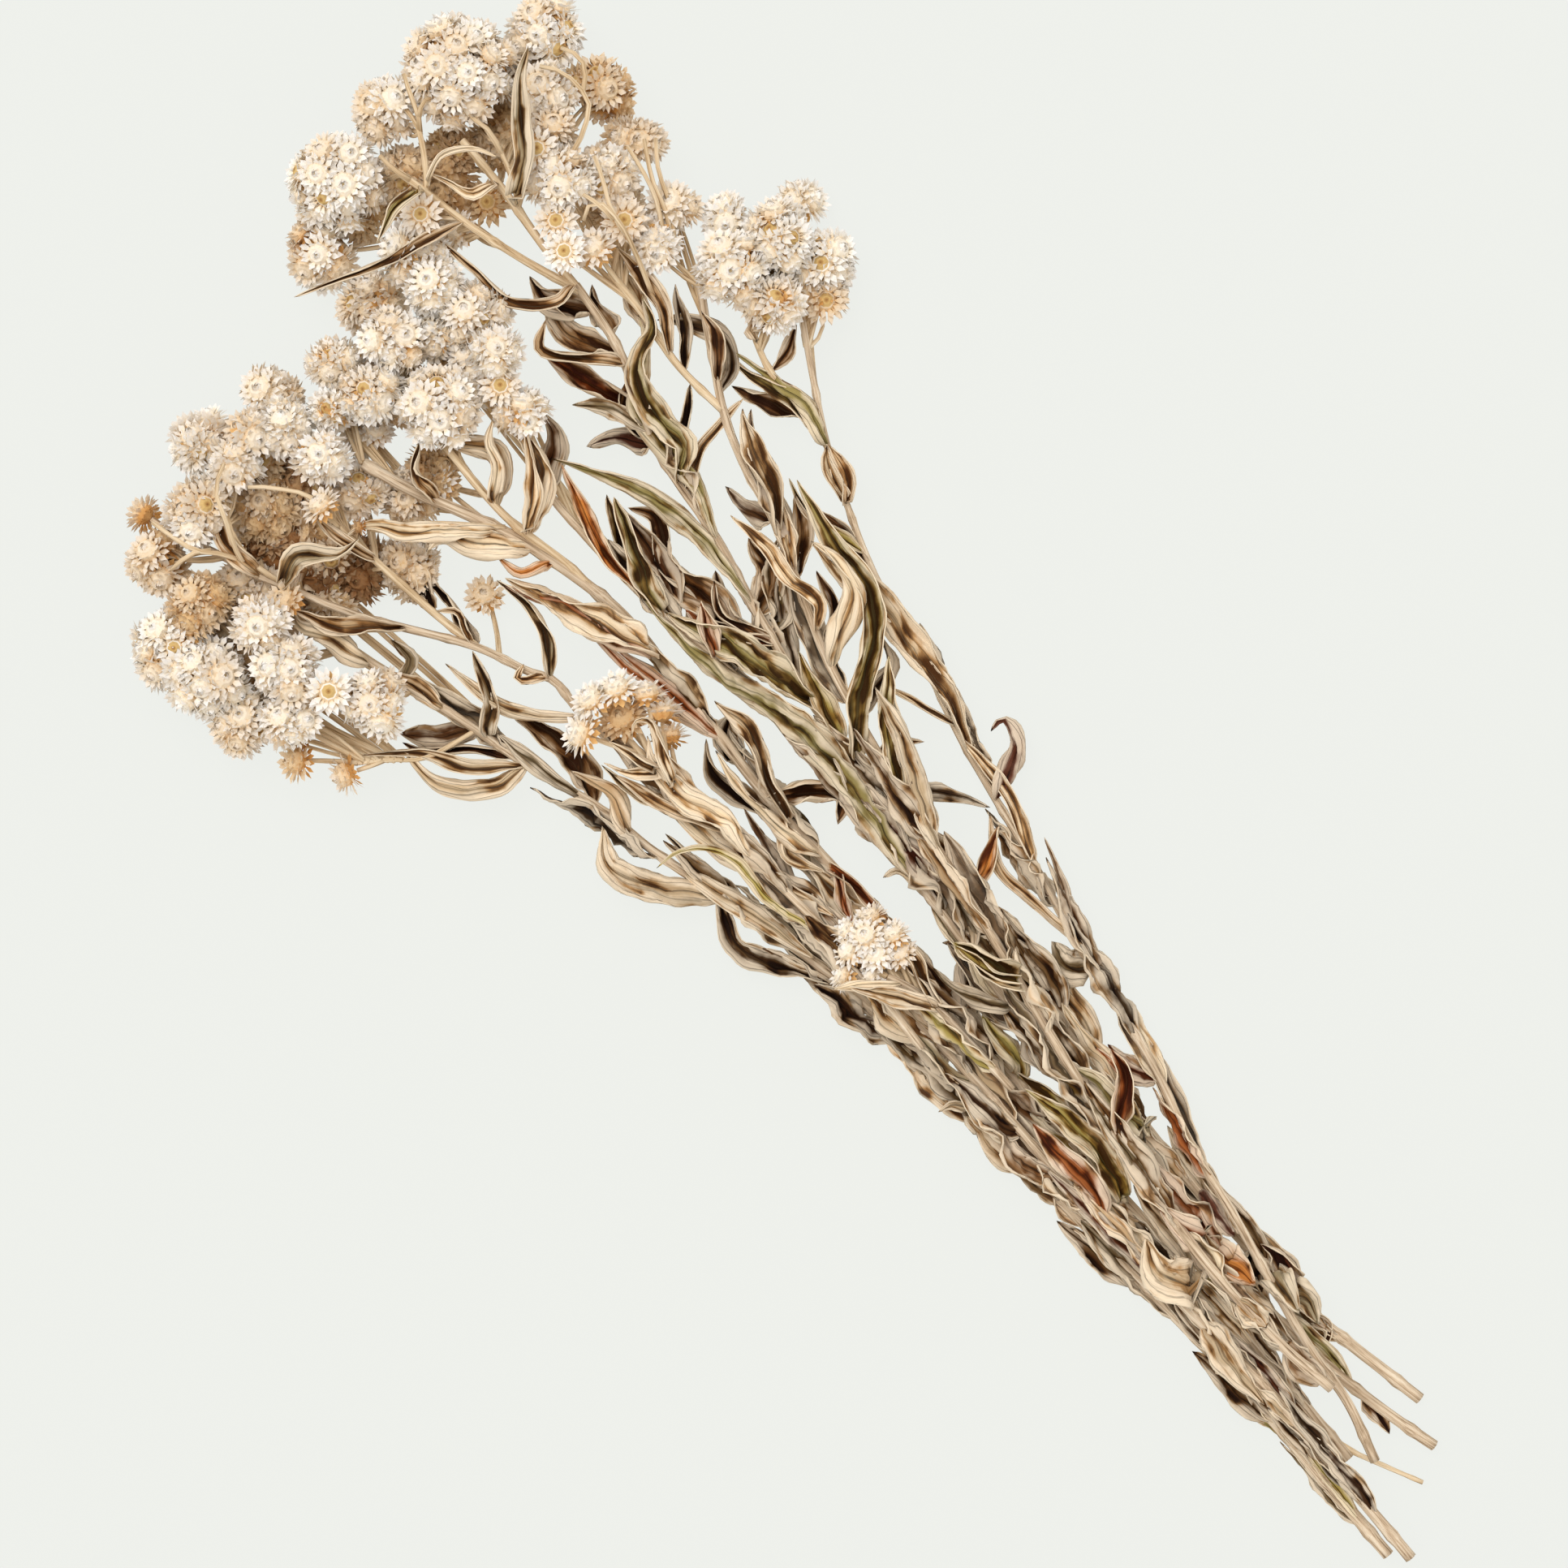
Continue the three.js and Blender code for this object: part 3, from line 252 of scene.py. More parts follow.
class Route:
    """A smooth line through points, measured along its length."""
    def __init__(self, points):
        self.points = [Vector(point) for point in points]
        fine = [self.place(step / 160) for step in range(161)]
        self.run = [0.0]
        for before, after in zip(fine, fine[1:]):
            self.run.append(self.run[-1] + (after - before).length)
        self.length = self.run[-1]

    def place(self, t):
        points = self.points
        part = t * (len(points) - 1)
        first = min(int(part), len(points) - 2)
        part -= first
        one, two = points[first], points[first + 1]
        zero = points[first - 1] if first else one * 2 - two
        three = points[first + 2] if first + 2 < len(points) else two * 2 - one
        gaps = [max((b - a).length, 1e-4) ** 0.5 for a, b in ((zero, one), (one, two), (two, three))]
        slope_one = (one - zero) / gaps[0] - (two - zero) / (gaps[0] + gaps[1]) + (two - one) / gaps[1]
        slope_two = (two - one) / gaps[1] - (three - one) / (gaps[1] + gaps[2]) + (three - two) / gaps[2]
        slope_one, slope_two = slope_one * gaps[1], slope_two * gaps[1]
        return (one + slope_one * part
                + (two * 3 - one * 3 - slope_one * 2 - slope_two) * part ** 2
                + (one * 2 - two * 2 + slope_one + slope_two) * part ** 3)

    def at(self, share):
        """Point, and the directions along, to the right and up, at a share of the length."""
        goal = min(max(share, 0), 1) * self.length
        step = next((n for n in range(1, 161) if self.run[n] >= goal), 160)
        span = self.run[step] - self.run[step - 1] or 1
        t = (step - 1 + (goal - self.run[step - 1]) / span) / 160
        point = self.place(min(max(t, 0), 1))
        along = (self.place(min(t + 0.002, 1)) - self.place(max(t - 0.002, 0))).normalized()
        pole = Vector((1, 0, 0)) if abs(along.z) > 0.95 else Vector((0, 0, 1))
        right = along.cross(pole).normalized()
        return point, along, right, right.cross(along).normalized()


class Draws:
    """A repeatable run of numbers between low and high."""
    def __init__(self, seed):
        self.state = seed

    def __call__(self, low, high):
        self.state = (self.state * 1664525 + 1013904223) % 4294967296
        return low + (high - low) * self.state / 4294967296

    def aside(self):
        return Vector((self(-1, 1), self(-1, 1), self(-1, 1)))


def rod(bm, route, first, last, sides, seed, rib=0.0, joints=False, woolly=False):
    """A closed tube on a route, ribbed along its length. Its grain runs straight along it."""
    rings = max(3, round(route.length / (RING_EVERY if joints else RING_EVERY * 1.6)))
    rows = rings + 2
    grain = bm.verts.layers.float_vector["grain"]
    made = bmesh.ops.create_grid(bm, x_segments=sides, y_segments=rows, size=1)["verts"]
    stations = [route.at((row - 1) / rings) for row in range(rows + 1)]
    wobble = Draws(seed)
    turns = [wobble(-0.1, 0.1) for _ in range(sides)]
    for vert in made:
        row = round((vert.co.y + 1) / 2 * rows)
        side = round((vert.co.x + 1) / 2 * sides) % sides
        share = min(max((row - 1) / rings, 0), 1)
        point, _, right, up = stations[row]
        turn = (side / sides) * 2 * pi
        radius = first + (last - first) * share
        radius *= 1 + (rib if side % 2 else -rib) + turns[side] * rib * 4
        if joints:
            gap = (share * route.length / JOINT_EVERY) % 1
            radius *= 1 + 0.28 * exp(-((gap - 0.5) / 0.07) ** 2)
            radius += 0.16 * noise.noise(Vector((share * route.length * 0.11, side * 0.9, seed)))
        if row in (0, rows):
            radius = 0
        vert.co = point + (up * cos(turn) + right * sin(turn)) * radius
        vert[grain] = (radius * cos(turn), radius * sin(turn), share * route.length + seed * 37)
    for face in {face for vert in made for face in vert.link_faces}:
        face.material_index = int(woolly)
    bmesh.ops.remove_doubles(bm, verts=made, dist=1e-4)


def start(*float_layers):
    """An empty mesh with the layers that the finishes read."""
    bm = bmesh.new()
    bm.verts.layers.float_vector.new("grain")
    for layer in float_layers:
        bm.verts.layers.float.new(layer)
    return bm


def settle(bm, name, materials, nodes, smooth=True):
    """Turns a mesh measured in millimetres into a piece that lies on the floor in its place."""
    for vert in bm.verts:
        vert.co.z = max(vert.co.z, CLEAR_OF_BOARD)
    bmesh.ops.translate(bm, verts=bm.verts, vec=-BUNCH_MIDDLE)
    bmesh.ops.scale(bm, verts=bm.verts, vec=(MM, MM, MM))
    mesh = bpy.data.meshes.new(name)
    bm.to_mesh(mesh)
    bm.free()
    if smooth:
        mesh.shade_smooth()
    for material in materials:
        mesh.materials.append(material)
    piece = bpy.data.objects.new(name, mesh)
    bpy.context.scene.collection.objects.link(piece)
    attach(piece, "root")
    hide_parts(*nodes)
    return piece


stems = []
for number, (first, last, route) in enumerate(STEMS, 1):
    branches = [(radius, Route(points)) for stem, radius, points in BRANCHES if stem == number]
    stems.append({"number": number, "radii": (first, last), "route": Route(route), "branches": branches})

# The flower heads grow in rounded groups on stalks that leave the stem behind them.
# Number of the stem, x, y, z of the middle, radius, how far up in degrees the group faces, and how brown it is: its
# age and, for groups that lie low, painted shade too. A radius of about 5 is one head, a larger one a dome of heads.
GROUPS = [
    (1, 96, -77, 22, 8, 60, 0), (1, 110, -75, 24, 10, 60, 0), (1, 121, -82, 16, 7, 30, 0),
    (1, 90, -88, 13, 6.6, 20, .2), (1, 97, -94, 13, 9, 40, 0), (1, 109, -89, 20, 10, 70, 0),
    (1, 113, -100, 7, 7, 10, 0), (2, 127, -64, 23, 6.6, 40, 0), (2, 132, -73, 20, 6.6, 60, .1),
    (2, 137, -61.5, 31, 5.5, 85, .3), (2, 149, -66, 26, 8, 60, .1), (2, 151, -77, 15, 8, 5, .3),
    (2, 137, -51, 30, 5.5, 50, 0), (2, 140.5, -44.5, 35, 5, 85, 0), (2, 148, -48, 33, 5.2, 80, 0),
    (2, 155, -56, 29, 9, 65, .1), (3, 165, -56, 35, 5, 85, .1), (3, 167, -62, 26, 7, 70, .2),
    (3, 175, -66, 22, 9, 60, .1), (3, 168, -78, 14, 9, -20, .45), (3, 188, -77, 14, 10, 30, 0),
    (3, 194, -54, 23, 15, 55, 0), (3, 199, -33, 21, 9, 35, .1), (3, 193, -12, 23, 13, 50, 0),
    (3, 182, 3, 13, 10, 20, .1), (3, 171.5, -22.5, 33, 5, 85, .1), (3, 165, -15, 24, 9, 60, 0),
    (3, 164, -27, 22, 5, 60, 0), (3, 165, -38, 13, 5.5, 85, .5), (3, 184, -25, 16, 8, 40, .3),
    (3, 179, -38, 11, 9, 20, .6), (4, 116, -10, 25, 7, 50, 0), (4, 125, -10, 31, 5.2, 88, 0),
    (4, 132, -15, 30, 6.6, 80, 0), (4, 143, -16, 25, 9, 50, 0), (4, 156, -13, 27, 8, 75, 0),
    (4, 146, -5, 22, 7, 60, 0), (4, 134, -8, 22, 7, 50, .1), (5, 131, 5, 26, 11, 60, 0),
    (5, 152, 4, 26, 9, 60, 0), (5, 145, 17, 26, 8, 70, 0), (5, 157, 20, 22, 7, 40, .1),
    (5, 163, 1, 14, 9, 15, .1), (5, 148, 28, 24, 7, 70, 0), (5, 139, 24, 12, 6.6, 30, .2),
    (5, 119, 27, 10, 8, 85, .2), (5, 118, 18.5, 13, 5, 50, .1), (6, 131.5, 45, 32, 5, 35, 0),
    (6, 141, 37, 29, 7, 85, 0), (6, 152, 39, 25, 8, 60, 0), (6, 128, 35, 15, 8, 50, .1),
    (6, 106, 38, 9, 9, 60, .2), (6, 162, 37, 13, 8, 15, .2), (6, 157, 47, 26, 6.6, 30, .2),
    (6, 153, 56, 27, 7, 40, 0), (6, 163, 60, 22, 8, 40, 0), (6, 168, 53, 18, 5, 20, .1),
    (6, 150, 70, 26, 9, 60, .1), (6, 160, 82, 20, 5, -25, .3), (6, 147, 86, 21, 9, -10, .3),
    (6, 140, 57, 11, 11, 50, .4), (6, 124, 52, 9, 9, 50, .5), (6, 88, 28, 6, 5, 70, .2),
    (7, 75, 86, 16, 5.5, 10, .1), (7, 86, 93, 18, 5.5, 30, .4), (7, 94, 87, 24, 8, 60, 0),
    (7, 83, 67, 25, 9, 55, 0), (7, 93, 74, 33, 5.5, 88, 0), (7, 105, 79, 28, 9, 80, 0),
    (7, 117, 77, 30, 7, 85, 0), (7, 102, 97, 18, 9, 50, .1), (7, 116, 96, 22, 11, 65, 0),
    (7, 127, 98, 19, 12, 50, 0), (7, 132, 85, 25, 8, 60, .4), (7, 119, 68, 27, 5, 50, .2),
    (7, 110, 61, 8, 8, 50, .4), (7, 127, 75, 13, 9, 50, .3), (8, 44, 32, 27, 6, 20, 0),
    (8, 49, 24, 27, 5.5, 30, 0), (8, 47, 17, 28, 5.5, 30, 0), (8, 41, 12, 26, 5.5, 5, .1),
    (8, 35, 12, 23, 5.5, -10, .2), (8, 29, 14.5, 21, 5, -10, .3), (8, 40, 21, 24, 6, 60, .7),
    (9, -43, 15, 28, 4.6, 40, 0), (9, -43, 9, 30, 4.6, 60, 0), (9, -47, 3.5, 28, 4.6, 35, .1),
    (9, -39, 12, 26, 4.4, 20, 0), (9, -40, 5, 26, 4.4, 20, 0), (9, -47, 20, 26, 4.2, 20, 0),
    (5, 121, 41.5, 26, 2.6, 20, .8),
    # Groups that lie under the others and close the gaps between them, browned as painted shade
    (5, 119, 19, 9, 8, 50, .6), (6, 113, 48, 7, 9, 60, .9), (7, 118, 58, 7, 9, 60, .9),
    (6, 133, 60, 8, 10, 60, .9), (6, 147, 62, 9, 10, 50, .4), (6, 140, 45, 9, 9, 60, .9),
    (6, 150, 50, 10, 9, 60, .4), (7, 125, 84, 8, 9, 50, .4), (7, 113, 86, 9, 9, 60, .5),
    (7, 102, 88, 9, 8, 60, .4), (4, 135, -3, 9, 8, 60, .5), (5, 150, 12, 9, 9, 60, .5),
    (5, 140, 10, 9, 8, 60, .5), (3, 176, -52, 9, 9, 60, .5), (3, 186, -64, 10, 9, 50, .3),
    (3, 185, -12, 9, 9, 50, .4), (2, 143, -62, 10, 8, 60, .4), (3, 172, -30, 9, 8, 60, .5),
    (1, 104, -82, 9, 8, 60, .4),
    # The middle of the small cluster on the shortest stem
    (9, -48, 10, 29, 4.8, 75, 0), (9, -51, 15, 26, 4.5, 60, .1), (9, -52, 5, 27, 4.4, 60, .1),
]
SMALLEST_DOME = 6.5
HEADS_PER_SQUARE = 0.11
DOME_REACH = 1.42
GOLDEN_ANGLE = 2.39996
HEAD_DEEP = 3.3


def fork(stem, middle, reach):
    """Where a stalk leaves the stem for a group: the nearest free place that lies behind it."""
    best = None
    for route in [stem["route"], *(route for _, route in stem["branches"])]:
        for step in range(10, 41):
            point, along, _, _ = route.at(step / 40)
            away = middle - point
            cost = away.length * (1.7 - along.dot(away) / away.length)
            taken = any((other - point).length < 1.5 for other in stem["forks"])
            if away.length > reach and not taken and (best is None or cost < best[0]):
                best = (cost, point)
    stem["forks"].append(best[1])
    return best[1]


def spread(count, facing, phase):
    """Directions of a dome's heads: a ring, a ring round a top head, or an even spread."""
    across = Vector((0.1, 0.2, 1)).cross(facing).normalized()
    over = facing.cross(across)

    def way(level, angle):
        rim = sqrt(1 - level * level)
        return facing * level + across * (rim * cos(angle)) + over * (rim * sin(angle))

    if count == 1:
        return [facing.copy()]
    if count < 5:
        return [way(0.6, phase + n * tau / count) for n in range(count)]
    if count < 8:
        return [facing.copy()] + [way(0.3, phase + n * tau / (count - 1)) for n in range(count - 1)]
    return [way(1 - (n + 0.5) / count * DOME_REACH, phase + n * GOLDEN_ANGLE) for n in range(count)]


place_draw = Draws(977)
for stem in stems:
    stem["forks"], stem["groups"] = [], []
for number, x, y, z, radius, rise, brown in GROUPS:
    stem = stems[number - 1]
    middle = Vector((x, y, z))
    point = fork(stem, middle, radius + 5)
    outward = Vector((x - point.x, y - point.y, 0)).normalized()
    facing = outward * cos(radians(rise)) + Vector((0, 0, sin(radians(rise))))
    single = radius < SMALLEST_DOME
    count = 1 if single else max(3, round(HEADS_PER_SQUARE * radius * radius))
    ways = spread(count, facing, place_draw(0, tau))
    back = middle - facing * ((3.2 if single else radius - 3.2) + 0.4)
    stem["groups"].append({"middle": middle, "radius": radius, "facing": facing, "ways": ways,
                           "single": single, "back": back, "fork": point, "brown": brown,
                           "bend": back - facing * ((back - point).length * 0.35)})


def bark(name, dark, grey, tan, pale):
    """Fine streaks along the stem, from the dark of its furrows to the pale of its ribs."""
    finish = Finish(name, Roughness=0.82, Specular_IOR_Level=0.2)
    grain = finish.attribute("grain", "Vector")
    streaks = finish.noise(finish.stretched(grain, (1.5, 1.5, 0.07)), 1.0, 4, 0.6)
    patches = finish.noise(finish.stretched(grain, (0.3, 0.3, 0.05)), 1.0, 2)
    shade = finish.ramp(streaks, [(0.27, dark), (0.38, grey), (0.5, tan), (0.66, pale)])
    shade = finish.mix(patches.between(0.5, 0.68) * 0.4, shade, colour(*grey))
    return finish.wear(Base_Color=shade, Normal=finish.bump(streaks, 0.00035))


barks = [bark("dry_stem_bark", (84, 60, 40), (172, 148, 120), (216, 194, 166), (240, 225, 202)),
         bark("woolly_stalk", (146, 116, 82), (196, 168, 130), (226, 202, 166), (242, 224, 194))]

STALK_LOWEST = 1.4
DRIED_THINNER = 0.9
THINNER_AT_CUT = 0.7
# Radius of a stalk where it leaves the stem and where it ends
MAIN_STALK, THIN_STRAND, HEAD_FOOT, BARE_STALK = (0.85, 0.6), (0.6, 0.45), (0.4, 0.5), (0.55, 0.75)
STRANDS_IN_DOME, STRANDS_APART = 3, 3.5
stalk_draw = Draws(5151)
for stem in stems:
    number = stem["number"]
    wood = start()
    cut, tip = stem["radii"]
    rod(wood, stem["route"], cut * THINNER_AT_CUT, tip * DRIED_THINNER, STEM_SIDES, number, 0.07, True)
    for order, (radius, route) in enumerate(stem["branches"]):
        rod(wood, route, radius * DRIED_THINNER, radius * 0.8, BRANCH_SIDES, number + order * 10, 0.05, True, True)
    for order, (_, line) in enumerate(row for row in BARE_STALKS if row[0] == number):
        rod(wood, Route(line), *BARE_STALK, STALK_SIDES, number * 9 + order, 0.1, woolly=True)
    for order, group in enumerate(stem["groups"]):
        for strand in range(1 if group["single"] else STRANDS_IN_DOME):
            aside = stalk_draw.aside() * (STRANDS_APART if strand else 1)
            bend = group["bend"] + aside
            line = [group["fork"] + aside * 0.15, group["fork"].lerp(bend, 0.55),
                    bend.lerp(group["back"], 0.5), group["back"] + aside * 0.3]
            for point in line:
                point.z = max(point.z, STALK_LOWEST)
            rod(wood, Route(line), *(THIN_STRAND if strand else MAIN_STALK), STALK_SIDES, number * 50 + order,
                0.04, woolly=True)
        if not group["single"]:
            for way in group["ways"]:
                foot = group["middle"] + way * (group["radius"] - HEAD_DEEP - 2)
                lean = group["back"].lerp(foot, 0.5) - group["facing"] * 0.2 + way * 0.8
                rod(wood, Route([group["back"], lean, foot]), *HEAD_FOOT, STALK_SIDES, order, 0.02, woolly=True)
    settle(wood, f"stem_wood_{number}", barks, [f"leafy_stem_{number}"])

# Each flower head is a small pompon of dry papery bracts, white at the tip and beige at the foot, the beige deepened
# by painted warm shade, in rings round an ochre disc of dry florets, on a pale woolly base. Most are still closed
# over the disc.
HEAD_RADIUS = 5.2
# Each ring: number of bracts, radius and height where they start, slope in degrees, length
OPEN_RINGS = [(13, 1.8, -1.9, -30, 3.4), (15, 2.0, -1.2, -6, 4.4), (14, 2.0, -0.6, 13, 4.2),
              (11, 1.9, -0.2, 34, 3.0)]
SHUT_RINGS = [(13, 1.8, -1.9, -30, 3.4), (15, 2.2, -1.2, -4, 4.0), (14, 2.2, -0.4, 18, 3.7),
              (11, 1.9, 0.4, 40, 3.2), (8, 1.5, 0.9, 112, 2.2)]
# Outline of the solid middle: distance from the axis, height, and the value of the place layer
OPEN_MIDDLE = [(0, -HEAD_DEEP, -1), (2.1, -2.3, -0.5), (2.9, -1.0, 0.1), (2.1, 0.0, 0.3), (1.7, 0.1, 2),
               (1.0, 0.75, 2.5), (0, 0.8, 3)]
SHUT_MIDDLE = [(0, -HEAD_DEEP, -1), (2.2, -2.4, -0.5), (3.2, -0.9, 0.15), (3.0, 0.8, 0.3), (1.9, 1.9, 0.4),
               (0.9, 1.8, 0.5), (0, 1.5, 2.2)]
WIDEST_PART = 0.64


def head_shape(name, outline, rings, draw):
    """One head, its base below the origin. The place layer is -1 at the base, 0 to 1 along a
    bract, and 2 to 3 from the rim of the disc to its middle. A bract is a cupped kite."""
    bm = start("place", "brown")
    place = bm.verts.layers.float["place"]
    line = [bm.verts.new((x, 0, z)) for x, z, _ in outline]
    for vert, (_, _, value) in zip(line, outline):
        vert[place] = value
    edges = [bm.edges.new(pair) for pair in zip(line, line[1:])]
    bmesh.ops.spin(bm, geom=line + edges, axis=(0, 0, 1), cent=(0, 0, 0), angle=tau, steps=8,
                   use_merge=True)
    bmesh.ops.remove_doubles(bm, verts=bm.verts, dist=1e-3)
    bmesh.ops.recalc_face_normals(bm, faces=bm.faces)
    for order, (count, radius, height, slope, length) in enumerate(rings):
        for number in range(count):
            made = bmesh.ops.create_grid(bm, x_segments=1, y_segments=1, size=1)["verts"]
            reach, half = length * draw(0.88, 1.08), draw(0.68, 0.9)
            curve, cup = draw(-0.2, 0.5), draw(0.05, 0.25)
            for vert in made:
                side = round(vert.co.x) if vert.co.x * vert.co.y < 0 else 0
                along = WIDEST_PART if side else 0.0 if vert.co.x < 0 else 1.0
                vert[place] = along if order else along * 0.3 - 0.35
                vert.co = Vector((side * half, along * reach, curve * along * along + cup * abs(side)))
            turn = (number + 0.5 * (order % 2) + draw(-0.25, 0.25)) / count * tau
            tilt = radians(slope + draw(-7, 7))
            bmesh.ops.transform(bm, verts=made, matrix=(
                Matrix.Rotation(turn, 4, "Z") @ Matrix.Translation((0, radius, height))
                @ Matrix.Rotation(tilt, 4, "X") @ Matrix.Rotation(draw(-0.25, 0.25), 4, "Y")))
    mesh = bpy.data.meshes.new(name)
    bm.to_mesh(mesh)
    bm.free()
    return mesh


shape_draw = Draws(31)
open_heads = [head_shape(f"open_head_{n}", OPEN_MIDDLE, OPEN_RINGS, shape_draw) for n in range(4)]
shut_heads = [head_shape(f"shut_head_{n}", SHUT_MIDDLE, SHUT_RINGS, shape_draw) for n in range(4)]

paper = Finish("papery_bracts", Roughness=0.78, Specular_IOR_Level=0.2)
position = paper.add("ShaderNodeTexCoord", {}, {}, "Object")
spots = paper.noise(position, 900, 2)
mottle = paper.noise(position, 2600, 2)
brown = paper.attribute("brown")
place = paper.attribute("place")
# Tan at the base and the foot of the bracts, deepened to amber there as painted warm shade between the bracts; white
# at the tips; ochre to brown in the disc.
shade = paper.ramp((place + (mottle - 0.5) * 0.25 + 1) / 4, [
    (0.0, (212, 176, 128)), (0.18, (228, 182, 120)), (0.25, (238, 196, 134)),
    (0.33, (249, 238, 218)), (0.41, (248, 245, 240)), (0.5, (246, 246, 247)),
    (0.68, (234, 214, 174)), (0.78, (214, 184, 128)), (0.88, (216, 184, 122)),
    (0.95, (178, 136, 80)), (1.0, (136, 98, 58))])
# How brown a bract is: brown specks, and the brown of its group, which is its age and, for the groups that lie low,
# painted shade.
browning_and_shade = (spots.between(0.52, 0.74) * 0.2 + brown * 0.8) * (1 - place.between(1.6, 2.0))
shade = paper.mix(1.0, shade, paper.ramp(browning_and_shade, [(0.0, (255, 255, 255)), (0.45, (230, 206, 170)),
                                                (0.8, (156, 114, 76))]), "MULTIPLY")
paper.wear(Base_Color=shade, Normal=paper.bump(mottle, 0.00012))

# How many heads are open: single ones that face up, others that face up, and the rest
OPEN_SINGLE, OPEN_ABOVE, OPEN_ASIDE = 0.95, 0.18, 0.06
ALL_SHUT_STEM = 9
head_draw = Draws(8080)
for stem in stems:
    number = stem["number"]
    heads = start("place", "brown")
    browned_and_shaded = heads.verts.layers.float["brown"]
    for group in stem["groups"]:
        for way in group["ways"]:
            single = group["single"]
            lean = head_draw.aside() * (0 if single else 0.3)
            facing = (way + lean).normalized()
            size = group["radius"] / HEAD_RADIUS if single else head_draw(0.92, 1.16)
            foot = group["middle"] + way * (0 if single else group["radius"] - 2.5 + head_draw(-1.3, 0.9))
            open_share = OPEN_SINGLE if single and facing.z > 0.9 else OPEN_ABOVE if facing.z > 0.6 else OPEN_ASIDE
            shows_disc = number != ALL_SHUT_STEM and head_draw(0, 1) < open_share
            choice = (open_heads if shows_disc else shut_heads)[int(head_draw(0, 3.999))]
            before = len(heads.verts)
            heads.from_mesh(choice)
            heads.verts.ensure_lookup_table()
            made = heads.verts[before:]
            bmesh.ops.transform(heads, verts=made, matrix=(
                Matrix.Translation(foot) @ facing.to_track_quat("Z", "Y").to_matrix().to_4x4()
                @ Matrix.Rotation(head_draw(0, tau), 4, "Z") @ Matrix.Scale(size, 4)))
            # The brown of the group: its age and, for low groups, painted shade.
            darkening = min(1, max(0, group["brown"] + head_draw(-0.15, 0.2)))
            for vert in made:
                vert[browned_and_shaded] = darkening
    nodes = [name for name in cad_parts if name.startswith(f"flower_heads_{number}_")]
    settle(heads, f"papery_heads_{number}", [paper.material], nodes, smooth=False)
for mesh in open_heads + shut_heads:
    bpy.data.meshes.remove(mesh)

